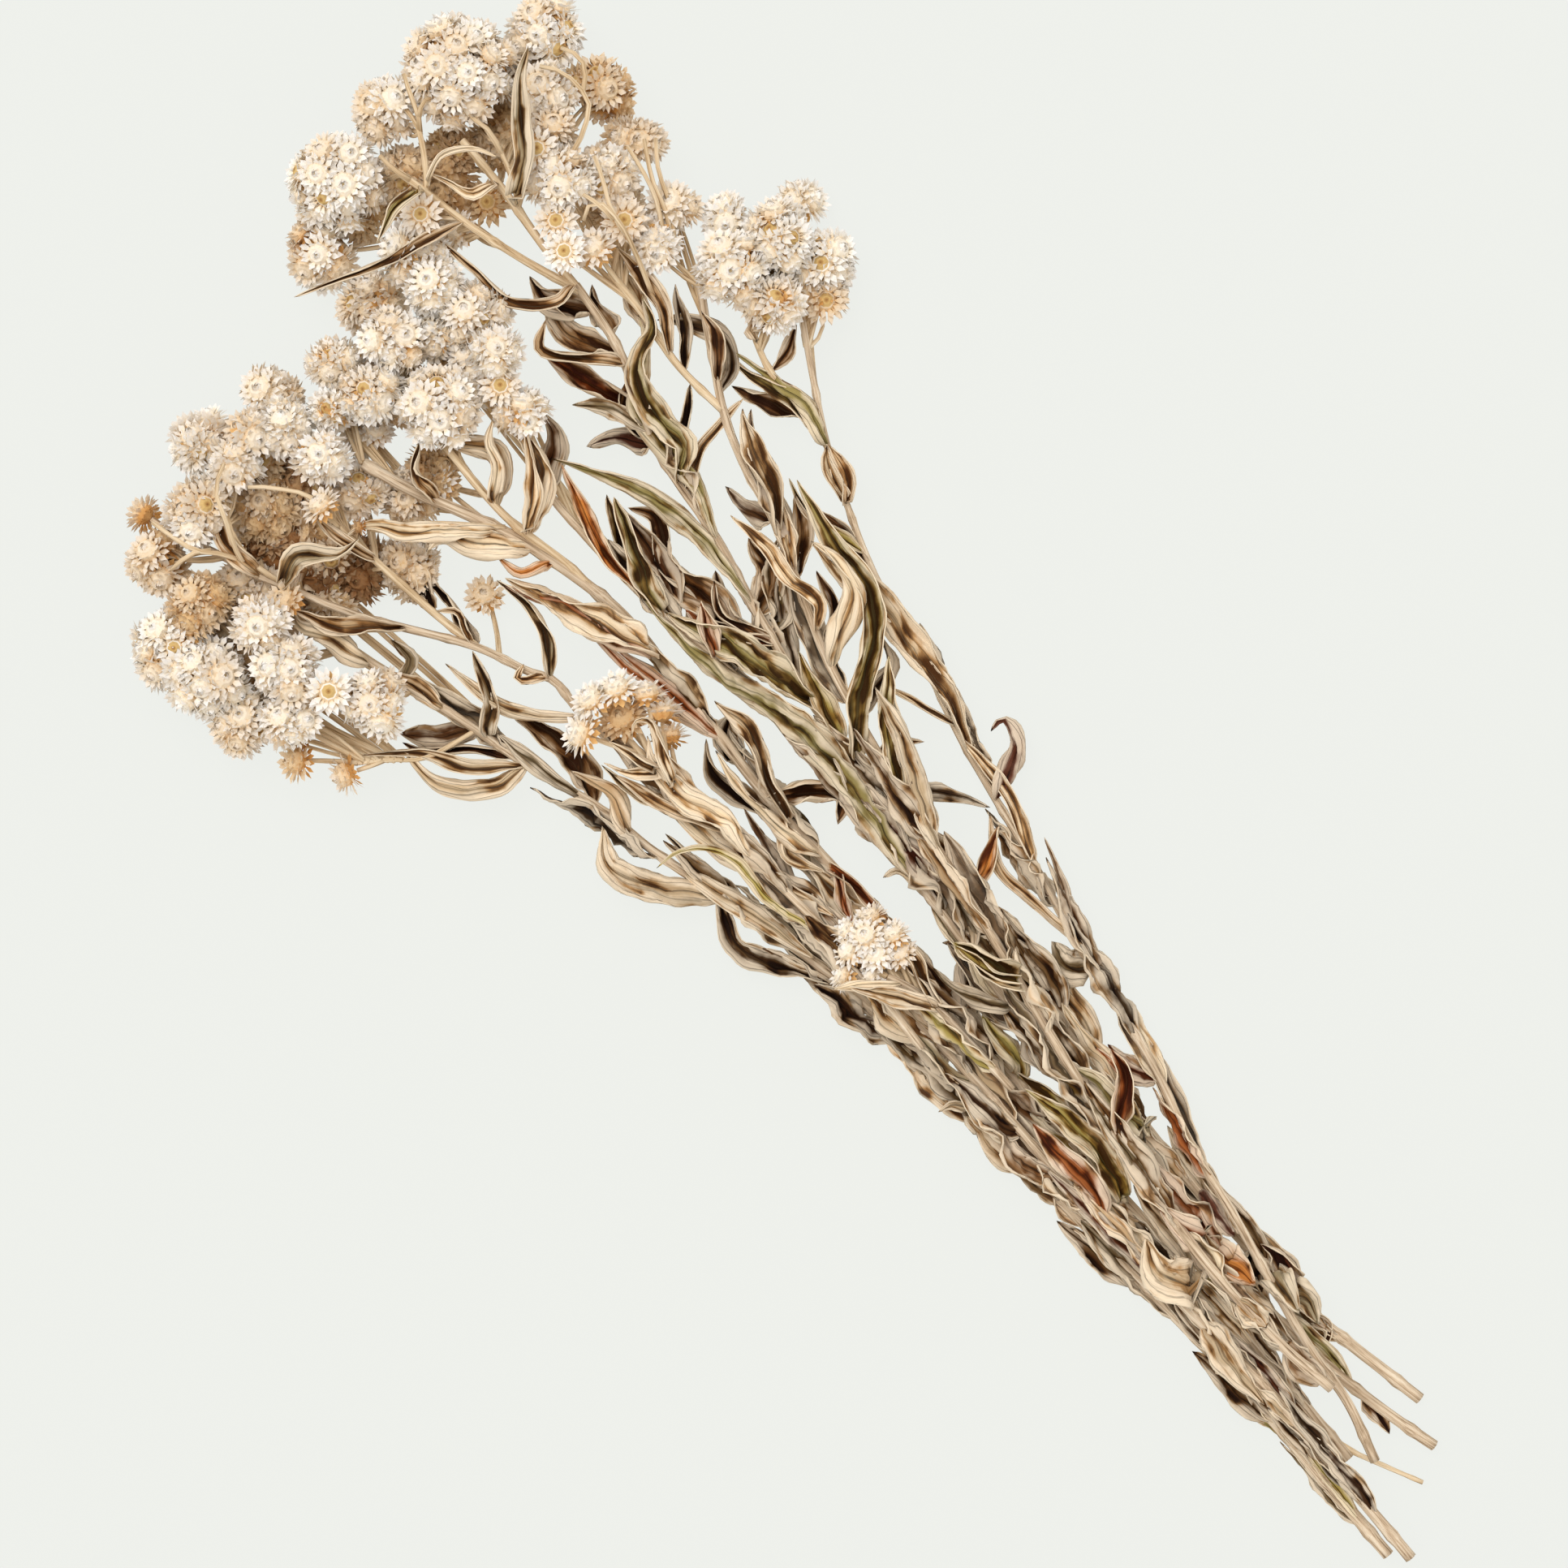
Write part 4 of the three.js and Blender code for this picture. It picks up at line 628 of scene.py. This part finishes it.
# Leaves that can be told apart: long narrow blades, dried, curled in at the edges, pleated along
# their veins and twisted. The upper side has gone olive or rust, and the under side is woolly.
# A list for each stem: tone, width, height above the stem, twist in degrees, then x, y along the leaf.
LEAVES = [
    [("maroon", 7, 3, 120, -38, -40, -36, -46, -30, -53, -24, -54, -24, -50),
    ("tan", 4, 3, 60, -80, -31, -65, -30, -52, -29, -40, -36), ("brown", 3, 1, 60, -80, -32, -68, -38, -54, -43),
    ("cream", 5, 3, 50, -57, -37, -40, -43, -20, -43), ("tan", 4, 2, 60, -18, -43, -5, -48, 20, -49),
    ("cream", 3, 5, 60, -16, -44, -6, -40, 3, -36.5), ("cream", 4, 4, 50, 10, -50, 30, -46, 45, -46),
    ("yellow", 4, 2, 60, 32, -54, 50, -50, 60, -52), ("brown", 4, 0, 60, 26, -53, 40, -54, 50, -52),
    ("brown", 5, 1, 60, 44, -59, 52, -62, 60, -64), ("olive", 5, 2, 60, 62, -65, 75, -65, 90, -61, 100, -60),
    ("tan", 4, 0, 60, 84, -66, 85, -72, 89, -79), ("tan", 3, 3, 90, 92, -68, 96, -69, 91, -74),
    ("beige", 8, 5, 80, -24, -43, -10, -47, 7, -48, 23, -50, 37, -50, 49, -51),
    ("dark", 9, -5, 60, -170, -15, -176, -11, -181, -10), ("dark", 10, 2, 60, -89, -31, -83, -26, -76, -27),
    ("rust", 7, -2, 60, -121, -25, -114, -21, -106, -21), ("tan", 6, -2, 60, 69, -66, 80, -60, 88, -56),
    ("beige", 4.5, 3, 90, 46.2, -59.6, 52, -60.7, 57.6, -62.8, 60, -65),
    ("tan", 4.5, 4, 90, 45.9, -60, 49.2, -63.1, 54.6, -64.8, 60, -65.3),
    ("olive", 6, 5, 60, 60, -65, 70.4, -67.4, 81.4, -65, 93.7, -62)],
    [("dark", 5, -4, 60, -20, -22, -30, -32, -39, -37), ("olive", 6, 2, 60, -22, -22, -10, -27, 8, -42),
    ("cream", 5, 4, 90, 25, -31, 30, -37, 40, -35, 50, -36, 62, -34), ("beige", 5, 3, 60, 42, -38, 50, -42, 58, -48),
    ("brown", 5, -3, 90, 55, -42, 70, -49, 80, -56), ("dark", 4, -2, 60, 98, -49, 107, -56, 117, -61.5),
    ("brown", 4, 4, 60, 90, -54, 100, -61, 107, -62), ("tan", 6, 3, 60, 104, -49, 112, -54, 122, -56, 134, -56),
    ("beige", 8, 5, 60, 51, -42, 59, -46, 70, -49, 81, -54), ("beige", 8, 3, 90, -39, -21, -22, -26, -9, -31, 4, -34),
    ("beige", 8, 1, 60, -178, -5, -183, -5, -187, -5), ("yellow", 11, 4, 90, -78, -13, -70, -11, -64, -9, -59, -7),
    ("tan", 9, -2, 60, -208, -7, -198, -6, -193, -7), ("brown", 7, -5, 60, 54, -42, 62, -38, 69, -38),
    ("dark", 7, -5, 60, 41, -38, 48, -42, 61, -47), ("brown", 5, -4, 60, 20, -31, 26, -39, 37, -42),
    ("dark", 6, -5, 60, 2, -28, 6, -41, 14, -44), ("dark", 6, -2, 60, 87, -52, 91, -59, 99, -62, 107, -58, 113, -52),
    ("cream", 7, -5, 60, 114, -50, 121, -51, 127, -54),
    ("cream", 7.5, 6, 70, 13.3, -35, 26.1, -44.9, 35.3, -47.2, 43.5, -45.6),
    ("beige", 6, -4, 60, 38, -37, 48.1, -46.5, 55.9, -50.6), ("rust", 6, 2, 60, -124, -14, -114, -19, -106, -20.5),
    ("yellow", 5, 5, 90, -78, -12, -72, -10, -66, -9, -60, -7)],
    [("beige", 10, 3, 30, -48, -17, -35, -18, -22, -25), ("orange", 5, 4, 90, -56, -17, -52, -20, -50, -26, -44, -36),
    ("olive", 8, 6, 80, -8, -19, 0, -25, 8, -35, 20, -46), ("cream", 4, -2, 60, -9, -19, -10, -28, -15, -35),
    ("yellow", 6, 4, 40, 0, -19, 12, -22, 24, -25), ("brown", 5, 2, 60, 30, -21, 45, -16, 52, -20),
    ("olive", 6, 4, 150, 40, -23, 55, -25, 65, -25, 80, -21, 90, -16, 103, -8),
    ("dark", 6, -2, 60, 18, -20, 38, -30, 48, -40),
    ("olive", 7, 5, 90, 58, -27, 75, -33.5, 90, -33, 100, -34, 110, -45, 117, -49),
    ("beige", 4, 2, 60, 74, -30, 80, -39, 82, -48, 83, -56), ("dark", 5, -2, 60, 82, -31, 88, -41, 95, -48),
    ("dark", 5, 3, 60, 92, -31, 103, -28, 110, -21), ("tan", 6, 4, 90, 108, -38, 118, -30, 126, -24, 131, -30),
    ("tan", 5, 4, 60, 133, -41, 132, -35, 140, -26, 152, -24, 164, -22),
    ("grey", 5, 13, 30, 158, -43, 165, -52, 172, -57, 180, -63, 186, -71),
    ("olive", 3.5, 12, 60, 176, -27, 176, -18, 172, -9), ("cream", 3, 8, 120, 176, -28, 179, -36, 176, -43, 169, -47),
    ("cream", 3, 6, 120, 165, -43, 167, -36, 172, -34, 178, -31),
    ("tan", 4, 4, 60, 163, -30, 168, -8, 172, 4, 176, 16), ("rust", 5, 5, 60, -124, -14, -114, -18.5, -104, -18),
    ("olive", 7, 6, 90, 78, -28, 84, -36, 90, -36, 100, -37, 108, -42, 112, -50, 120, -53),
    ("olive", 9, 9, 70, -6, -18, 4, -28, 14, -42, 24, -49, 40, -50, 58, -53),
    ("olive", 10, 7, 50, 12, -19, 26, -15, 41, -11, 54, -5), ("brown", 9, -3, 60, 26, -20, 37, -17, 46, -18, 54, -22),
    ("beige", 8, -5, 60, 112, -38, 125, -32, 136, -34), ("brown", 4, 1, 60, -193, -17, -199, -17, -203, -14),
    ("grey", 8, 16, 30, -177, -16, -184, -15, -190, -14), ("grey", 7, 11, 30, -184, -17, -190, -18, -196, -16),
    ("maroon", 9, 8, 60, -151, -15, -158, -14, -165, -14), ("maroon", 8, 5, 60, -186, -17, -176, -20, -171, -18),
    ("beige", 8, -4, 60, 38, -23, 44, -32, 55, -34), ("orange", 8, -5, 60, 99, -33, 112, -28, 125, -24),
    ("maroon", 7, -6, 60, 88, -31, 97, -24, 100, -17), ("beige", 7, -4, 60, 90, -31, 99, -30, 106, -35),
    ("brown", 8, -6, 60, 125, -41, 135, -34, 143, -34), ("beige", 7, -5, 60, 117, -40, 124, -42, 131, -45),
    ("olive", 7, -4, 60, 32, -22, 35, -28, 44, -33, 50, -40), ("rust", 6, 2, 50, 30, -19, 42.7, -11.2, 51.5, -9.6),
    ("olive", 7, 16, 60, -130, -14, -118.6, -12.8, -109, -12, -103, -9.8)],
    [("olive", 9, 5, 50, -42, -11, -20, -13, 0, -13.5, 20, -9, 30, -5, 50, -3, 60, -3),
    ("beige", 3, 2, 80, -45, -11, -36, -8, -35, -4), ("orange", 5, 4, 60, 62, -3, 75, -2.5, 88, -6, 100, -9),
    ("olive", 5, -2, 60, 60, -4, 70, -5.5, 87, -13), ("brown", 7, -3, 50, 48, -6, 60, -11, 85, -14),
    ("rust", 5, 3, 60, 36, -8, 44, -11, 50, -14), ("rust", 8, 13, 30, -158, -9, -152, -5, -145, -4),
    ("olive", 7, 5, 60, 53, -4, 62, -6, 73, -10, 85, -14),
    ("tan", 10, -4, 60, 33, -9, 47, -16, 62, -13, 74, -19, 81, -15), ("rust", 8, -3, 60, 31, -8, 38, -12, 49, -12),
    ("brown", 5, -2, 60, -219, -12, -225, -13, -231, -12), ("orange", 9, 11, 30, -164, -7, -171, -9, -177, -10),
    ("dark", 5, 6, 90, -82, -8, -75, -3, -67, 1, -61, 1), ("maroon", 8, -3, 60, -90, -8, -96, -5, -101, -4),
    ("brown", 7, -6, 60, 99, -3, 107, -12, 114, -14), ("brown", 8, -6, 60, 42, -7, 51, -12, 63, -9, 76, -11)],
    [("cream", 4, 3, 60, -5, 6, -15, 11, -25, 6.5), ("rust", 4, 5, 50, -28, 5, -34, 8, -40, 10),
    ("rust", 5, 4, 60, -25, 4, -32, 3, -45, 2), ("brown", 9, 2, 120, 2, 4, -6, -4, -12, -9, -17, -4),
    ("rust", 6, 6, 150, 48, 4, 55, 8, 65, 12, 72, 14, 80, 20, 87, 23),
    ("rust", 5, 3, 50, 20, 6, 35, 9, 50, 12, 65, 13.5), ("orange", 4, 5, 60, 82, 9, 85, 17, 92, 19),
    ("cream", 5, 8, 90, 92, 10, 98, 2, 105, -4, 113, -8), ("cream", 4, 5, 90, 103, 11, 110, 4, 116, 2, 120, -3),
    ("cream", 5, 7, 60, 98, 14, 107, 26, 112, 33, 120, 40, 121, 46), ("tan", 5, 4, 60, 112, 21, 122, 21, 128, 15),
    ("yellow", 6, 4, 40, -135, 2, -115, -2, -95, 2), ("brown", 9, 3, 90, -80, 4, -72, -3, -64, -9, -58, -5),
    ("beige", 8, 6, 90, -7, 5, 5, 2, 17, -2, 28, 0), ("cream", 9, 7, 100, 47, 3, 58, 8, 68, 12, 78, 16, 87, 21),
    ("rust", 5, 4, 60, 20, 6, 36, 7, 50, 10, 58, 11), ("dark", 8, -4, 40, 10, 5, 19, 4, 23, -1),
    ("beige", 8, 2, 90, 102, 10, 109, 3, 114, 2, 120, 7, 124, 11),
    ("cream", 7, 5, 70, 92, 9, 101, -4, 111, -6, 116, -4), ("cream", 8, 6, 90, 88, 12, 100, 22, 105, 26, 105, 32),
    ("dark", 7, -3, 60, -8, 5, 2, 10, 14, 12, 22, 8), ("cream", 6, 6, 120, -20, 5, -8, 8, 6, 10, 18, 8),
    ("beige", 12, 20, 30, -168, 6, -159, 7, -149, 4),
    ("yellow", 8, 14, 60, -140, -2, -125.8, -1, -112.4, 0, -99.9, 2.8)],
    [("yellow", 3.5, 9, 60, -40, 18, -20, 22, -8, 22, 0, 26, 4, 32, 4.5, 39),
    ("cream", 5, 3, 50, -5, 21, -20, 17, -35, 12), ("beige", 4, 4, 60, 45, 29, 55, 38, 65, 44, 80, 47),
    ("tan", 3, 2, 80, 60, 30, 65, 35, 67, 31.5), ("tan", 3, 3, 60, 80, 38, 88, 36, 92, 40),
    ("grey", 5, 4, 50, 60, 28.5, 68, 22.5, 78, 21, 88, 23), ("grey", 6, 9, 120, 122, 65, 125, 58, 118, 50, 118, 43),
    ("tan", 5, 5, 30, 128, 69, 140, 70, 152, 64), ("dark", 5, -3, 40, 78, 38, 92, 36, 104, 38),
    ("tan", 6, 6, 50, 95, 49, 105, 62, 116, 68), ("tan", 4, 5, 60, 112, 43.5, 122, 47, 131, 48),
    ("beige", 8, 4, 40, -176, 7, -190, 8, -202, 8), ("dark", 7, -4, 60, 93, 41, 100, 38, 107, 36),
    ("tan", 10, -7, 40, 118, 64, 123, 57, 129, 60, 132, 66), ("brown", 7, -5, 60, -30, 18, -14, 15, 2, 12),
    ("cream", 6, 3, 90, -14, 20, 0, 24, 12, 26, 24, 30), ("olive", 5, 2, 60, 12, 23, 22, 30, 34, 33)],
    [("beige", 9, 4, 60, -12, 33, 0, 42, 13, 48.5, 22, 43), ("dark", 6, -2, 40, -10, 33, -25, 36, -48, 24),
    ("beige", 5, 4, -50, 0, 32, -20, 28, -40, 23), ("beige", 6, 3, 90, 45, 49, 48, 58, 53, 66, 60, 69.5, 70, 70),
    ("brown", 5, -3, 40, 50, 50, 60, 57, 66, 66, 72, 69), ("tan", 5, 3, 60, 71, 54, 78, 56, 88, 60),
    ("dark", 5, 4, 50, 30, 42, 45, 46, 58, 48.5), ("dark", 5, 6, 50, 60, 50, 65, 44, 78, 39.5),
    ("dark", 4, 2, 80, 84, 58, 87, 53, 94, 54), ("cream", 7, 7, 60, 92, 61, 103, 65, 112, 70, 120, 66),
    ("beige", 3, 4, 60, -96, 17, -92, 20, -91, 24), ("beige", 10, -4, 60, 27, 41, 40, 37, 51, 39, 62, 42),
    ("beige", 4, 3, 60, 45, 48, 56, 60, 67, 67, 76, 79), ("brown", 8, -3, 60, 62, 51, 67, 61, 74, 68),
    ("dark", 6, -2, 60, -20, 29, -4, 30, 10, 32), ("tan", 6, 5, 60, 14, 38, 26, 36, 38, 40)],
    [("tan", 5, 3, 60, 5, 20, 18, 20, 32, 18), ("tan", 5, 3, 60, 0, 19.5, 15, 27, 30, 32),
    ("cream", 7, 5, 90, -10, 18, 2, 17, 14, 22, 24, 23, 32, 19),
    ("cream", 3.5, 13, 90, 18.2, 21.8, 24.7, 19.5, 29.8, 16.5, 34.7, 16, 36.8, 19, 34.2, 22),
    ("cream", 4.5, 11, 60, 24, 23, 29, 24.5, 37.1, 27.3), ("cream", 4, 9, 60, 22, 23.1, 28.2, 28.7, 33.8, 31.9)],
    [("beige", 6, 2, 60, -70, 8, -58, 4, -47, 2), ("beige", 5, 5, 60, -70, 8.5, -60, 13, -50, 21),
    ("cream", 4, 4, 60, -59.2, 10.2, -52.6, 17.5, -48.3, 24.2)],
]
# Colour of the side that faces up, and of the other
TONES = {
    "cream": ((228, 206, 172), (200, 170, 132)), "beige": ((200, 176, 142), (166, 142, 108)),
    "tan": ((190, 160, 122), (152, 128, 94)), "grey": ((158, 142, 112), (204, 186, 152)),
    "olive": ((146, 132, 80), (202, 184, 144)), "yellow": ((170, 152, 84), (198, 182, 138)),
    "dark": ((116, 97, 68), (160, 140, 104)), "brown": ((136, 104, 74), (184, 158, 122)),
    "rust": ((156, 90, 46), (204, 172, 132)), "orange": ((192, 122, 58), (214, 182, 138)),
    "maroon": ((104, 62, 46), (150, 116, 88)),
}
LEAF_COLUMNS = 14
LEAF_ROW_EVERY = 1.5
LEAF_WALL = 0.28
# Painted shade: how much darker and browner a leaf is made that lies under its stem, and one deep in the bunch
SHADE_UNDER_STEM, SHADE_DEEP_IN_BUNCH = (0.46, 0.35, 0.25), (0.24, 0.17, 0.1)


def blade(bm, route, width, roll, twist, curl, crinkle, tone, draw, browning_and_shade=(1, 1, 1)):
    """A dried blade: curl rolls its edges up or, below 0, under; crinkle is how shrivelled it is."""
    layers = bm.verts.layers
    grain, upper, under, vein, raised = (layers.float_vector["grain"], layers.float_color["upper"],
                                         layers.float_color["under"], layers.float["vein"], layers.float["raised"])
    rows = max(10, round(route.length / LEAF_ROW_EVERY))
    made = bmesh.ops.create_grid(bm, x_segments=LEAF_COLUMNS, y_segments=rows, size=1)["verts"]
    stations = [route.at(row / rows) for row in range(rows + 1)]
    seed = draw(0, 900)
    waves, left, right_edge = draw(1.2, 3.2), draw(0, tau), draw(0, tau)
    pleats, lilt, swing = draw(1.8, 2.8), draw(0, tau), draw(8, 24)
    fresh = draw(0.88, 1.12)
    # The tones are multiplied by the painted shade of a leaf that lies under its stem or deep in the bunch.
    tints = [[part * fresh * darkening for part, darkening in zip(colour(*shade), (*browning_and_shade, 1))] for shade in TONES[tone]]
    for vert in made:
        side, share = vert.co.x, (vert.co.y + 1) / 2
        point, _, right, up = stations[round(share * rows)]
        half = width / 2 * 1.18 * sin(pi * share ** 0.8) ** 0.75 if 0 < share < 1 else 0
        angle = radians(roll + twist * share + swing * sin(share * 7 + lilt))
        across = right * cos(angle) + up * sin(angle)
        off = up * cos(angle) - right * sin(angle)
        bend = curl * (0.75 + 0.35 * sin(share * 5 + lilt))
        bend = bend if abs(bend) > 0.05 else 0.05
        wide = half * sin(bend * side) / bend
        lift = half * (1 - cos(bend * side)) / bend
        phase = left if side < 0 else right_edge
        lift += half * 0.3 * crinkle * abs(side) ** 3 * sin(share * waves * tau + phase)
        spot = Vector((side * half * 0.3 + seed, share * route.length * 0.13, seed * 0.37))
        fold = 0.17 * cos(pleats * pi * side + 2 * sin(share * 4 + lilt)) * (1 - side ** 4)
        fold += crinkle * (0.42 * noise.noise(spot * 1.3) + 0.2 * noise.noise(spot * 3.6))
        fold -= 0.3 * exp(-(side / 0.14) ** 2)
        lift += half * fold
        wide += crinkle * half * 0.2 * noise.noise(spot * 1.3 + Vector((31, 7, 3)))
        vert.co = point + across * wide + off * lift
        vert[grain] = (side * half, share * route.length, seed)
        vert[vein] = side
        # How high the folds stand; the finish paints shade in the hollows and light on the ridges from it.
        vert[raised] = fold - bend * 0.12 * (1 - side * side)
        vert[upper], vert[under] = tints
    bmesh.ops.remove_doubles(bm, verts=made, dist=1e-4)


def start_leaves():
    bm = start("vein", "raised")
    bm.verts.layers.float_color.new("upper")
    bm.verts.layers.float_color.new("under")
    return bm


def leaf_finish(name, side, wool, facing):
    """One side of a blade. Its own tone stays in the trough, and the rest has bleached, with painted light on the
    raised ridges; painted shade makes the hollows of its folds and its crease lines dark brown, fine fibres run along
    it, and the rim is pale and rolled: partly the woolly colour, partly a painted highlight."""
    leaf = Finish(name, Roughness=0.75, Specular_IOR_Level=0.15)
    grain = leaf.attribute("grain", "Vector")
    vein = leaf.attribute("vein")
    tone = leaf.attribute(side, "Color")
    raised = leaf.attribute("raised") * facing
    fibres = leaf.noise(leaf.stretched(grain, (1.8, 0.05, 1)), 1.0, 4, 0.6)
    folds = leaf.noise(leaf.stretched(grain, (0.62, 0.035, 1)), 1.0, 2, 0.5)
    blotches = leaf.noise(leaf.stretched(grain, (0.2, 0.09, 1)), 1.0, 3, 0.6)
    fine = leaf.noise(leaf.stretched(grain, (2.5, 1.6, 1)), 1.0, 3, 0.7)
    away = abs(vein)
    # Raised ridges count as more bleached: painted light on the ridges.
    bleach_and_ridge_light = (away + (blotches - 0.5) * 1.5 + raised * 0.6).between(0.15, 0.7)
    streaks = fibres.between(0.34, 0.66)
    shade = leaf.mix(bleach_and_ridge_light * (0.66 - wool * 0.2), tone, colour(246, 230, 206))
    shade = leaf.dim(shade, 0.88 + streaks * 0.22 + fine * 0.12)
    # Dark lines along the noise folds and the midrib trough: painted shade of the creases.
    lines = leaf.add("ShaderNodeMath", {"operation": "PINGPONG"}, {0: vein * 2.6 + folds * 1.6, 1: 0.5})
    crease_shade = lines.between(0.09, 0.02) * 0.48 + (1 - away.between(0.02, 0.08)) * 0.5
    # Painted shade in the hollows of the folds, dark brown where the blade lies lowest.
    fold_shade = (raised + (fibres - 0.5) * 0.26).between(0.05, -0.36)
    shade = leaf.mix(1.0, shade, leaf.ramp(fold_shade, [
        (0.0, (255, 255, 255)), (0.45, (208, 181, 146)), (1.0, (104, 74, 46))]), "MULTIPLY")
    shade = leaf.mix(crease_shade, shade, leaf.dim(tone, 0.28))
    # Pale rim: partly the woolly colour rolled over, partly a painted highlight on the rolled edge.
    shade = leaf.mix(away.between(0.84, 0.97) * 0.65 + wool * 0.12, shade, colour(242, 226, 200))
    height = fibres * 0.6 + fine * 0.25 - crease_shade * 0.7
    return leaf.wear(Base_Color=shade, Normal=leaf.bump(height, 0.0005))


leaf_sides = [leaf_finish("leaf_upper_side", "upper", 0, 1), leaf_finish("leaf_woolly_side", "under", 0.6, -1)]


def lay_leaves(bm, name, number):
    """The blades of one stem as a piece, with a thickness."""
    piece = settle(bm, name, leaf_sides, [f"leafy_stem_{number}"])
    wall = piece.modifiers.new("thickness", "SOLIDIFY")
    wall.thickness, wall.offset = LEAF_WALL * MM, 0
    wall.material_offset, wall.material_offset_rim = 1, 1
    return piece


leaf_draw = Draws(1207)
for stem in stems:
    number = stem["number"]
    samples = [route.at(step / 120)[0] for route in [stem["route"], *(r for _, r in stem["branches"])]
               for step in range(121)]
    leaves = start_leaves()
    for tone, width, rise, twist, x, y, *rest in LEAVES[number - 1]:
        near = min(samples, key=lambda point: hypot(point.x - x, point.y - y))
        line = [Vector((px, py, near.z + rise)) for px, py in zip(rest[::2], rest[1::2])]
        elbow = near.lerp(line[0], 0.3)
        elbow.z = near.z + rise * 0.9
        curl = leaf_draw(1.2, 2.4) * (1 if leaf_draw(0, 1) < 0.65 else -1) * (1 if twist > 30 else 0.35)
        blade(leaves, Route([near, elbow, *line]), width, -twist / 2, twist, curl,
              leaf_draw(0.7, 1.2), tone, leaf_draw, (1, 1, 1) if rise > 0 else SHADE_UNDER_STEM)
    lay_leaves(leaves, f"long_leaves_{number}", number)

# Lower down the leaves have shrivelled onto the stems, and wrap each other in crumpled layers, so
# that the bundle there is leaf all round. Number of the stem, then the first and last x.
HUGGED = [
    (1, -150, -10), (2, -195, 70), (3, -205, 90), (4, -215, 50), (5, -215, 55), (6, -245, 50),
    (7, -245, 50), (8, -60, 20), (9, -92, -66),
]
HUG_TONES = ["beige", "grey", "cream", "yellow", "tan", "beige", "brown", "cream", "grey", "beige", "dark",
             "tan", "olive", "beige", "dark", "rust"]
# Each layer: spacing, least and greatest length, distance from the stem and width, and the last x.
# The first wraps the stem, the second is more crumpled, and the third lies flat between stems.
LAYERS = [(38, (30, 48), (3, 4), (6, 8.5), 999), (26, (22, 38), (2.2, 3.6), (5, 8), -15),
          (16, (20, 36), (2.5, 5), (5.5, 8.5), -25)]
FLAT_ON = (3, 4, 5, 6, 7)
# How many of the outer leaves stay pale, in the thick part of the bunch and past its end; the rest, and the whole
# first layer, get the painted shade of the deep bunch
THICK_PART_END, PALE_LOWER, PALE_UPPER = -60, 0.74, 0.42
hug, tone_draw = Draws(4021), Draws(66)
for stem, (number, first, last) in zip(stems, HUGGED):
    route = stem["route"]
    samples = [route.at(step / 300)[0] for step in range(301)]
    leaves = start_leaves()
    for layer, (spacing, reaches, offsets, widths, end) in enumerate(LAYERS):
        flat = layer == 2
        if flat and number not in FLAT_ON:
            continue
        draw = Draws(number * 331 + layer) if layer else hug
        turn = draw(0, tau)
        x = first
        while x < min(last, end):
            begin = next((step for step, point in enumerate(samples) if point.x > x), 300) / 300
            slim = min(1, 0.6 + (x + 235) / 300)
            reach, offset, swing = draw(*reaches), draw(*offsets) * slim, draw(-0.4, 0.4)
            if flat:
                turn, swing = (0 if draw(0, 1) < 0.5 else pi) + draw(-0.5, 0.5), draw(-0.9, 0.9)
            lift = Vector((0, 0, draw(-3, 5))) if flat else Vector()
            line = []
            for part, away in ((0, 0), (0.12, offset * 0.6), (0.35, offset), (0.65, offset), (1, offset + 1)):
                point, _, right, up = route.at(min(begin + part * reach / route.length, 0.999))
                angle = turn + part * swing
                line.append(point + right * (away * cos(angle)) + up * (away * sin(angle))
                            + lift * min(1, part * 4))
            width, twist = draw(*widths) * slim, draw(-60, 60)
            tone = HUG_TONES[int(tone_draw(0, len(HUG_TONES) - 0.001))]
            roll = draw(-35, 35) if flat else degrees(turn) - 90
            curl = -tone_draw(0.3, 1.2) if layer else -tone_draw(0.8, 1.5)
            # Leaves of the first layer, and the outer ones not left pale, get the painted shade of the deep bunch.
            blade(leaves, Route(line), width, roll, twist, curl, tone_draw(0.9, 1.7), tone, tone_draw,
                  (1, 1, 1) if layer and tone_draw(0, 1) < (PALE_LOWER if x < THICK_PART_END else PALE_UPPER)
                  else SHADE_DEEP_IN_BUNCH)
            x += draw(0.8, 1.2) * spacing
            turn += GOLDEN_ANGLE
    lay_leaves(leaves, f"hugging_leaves_{number}", number)
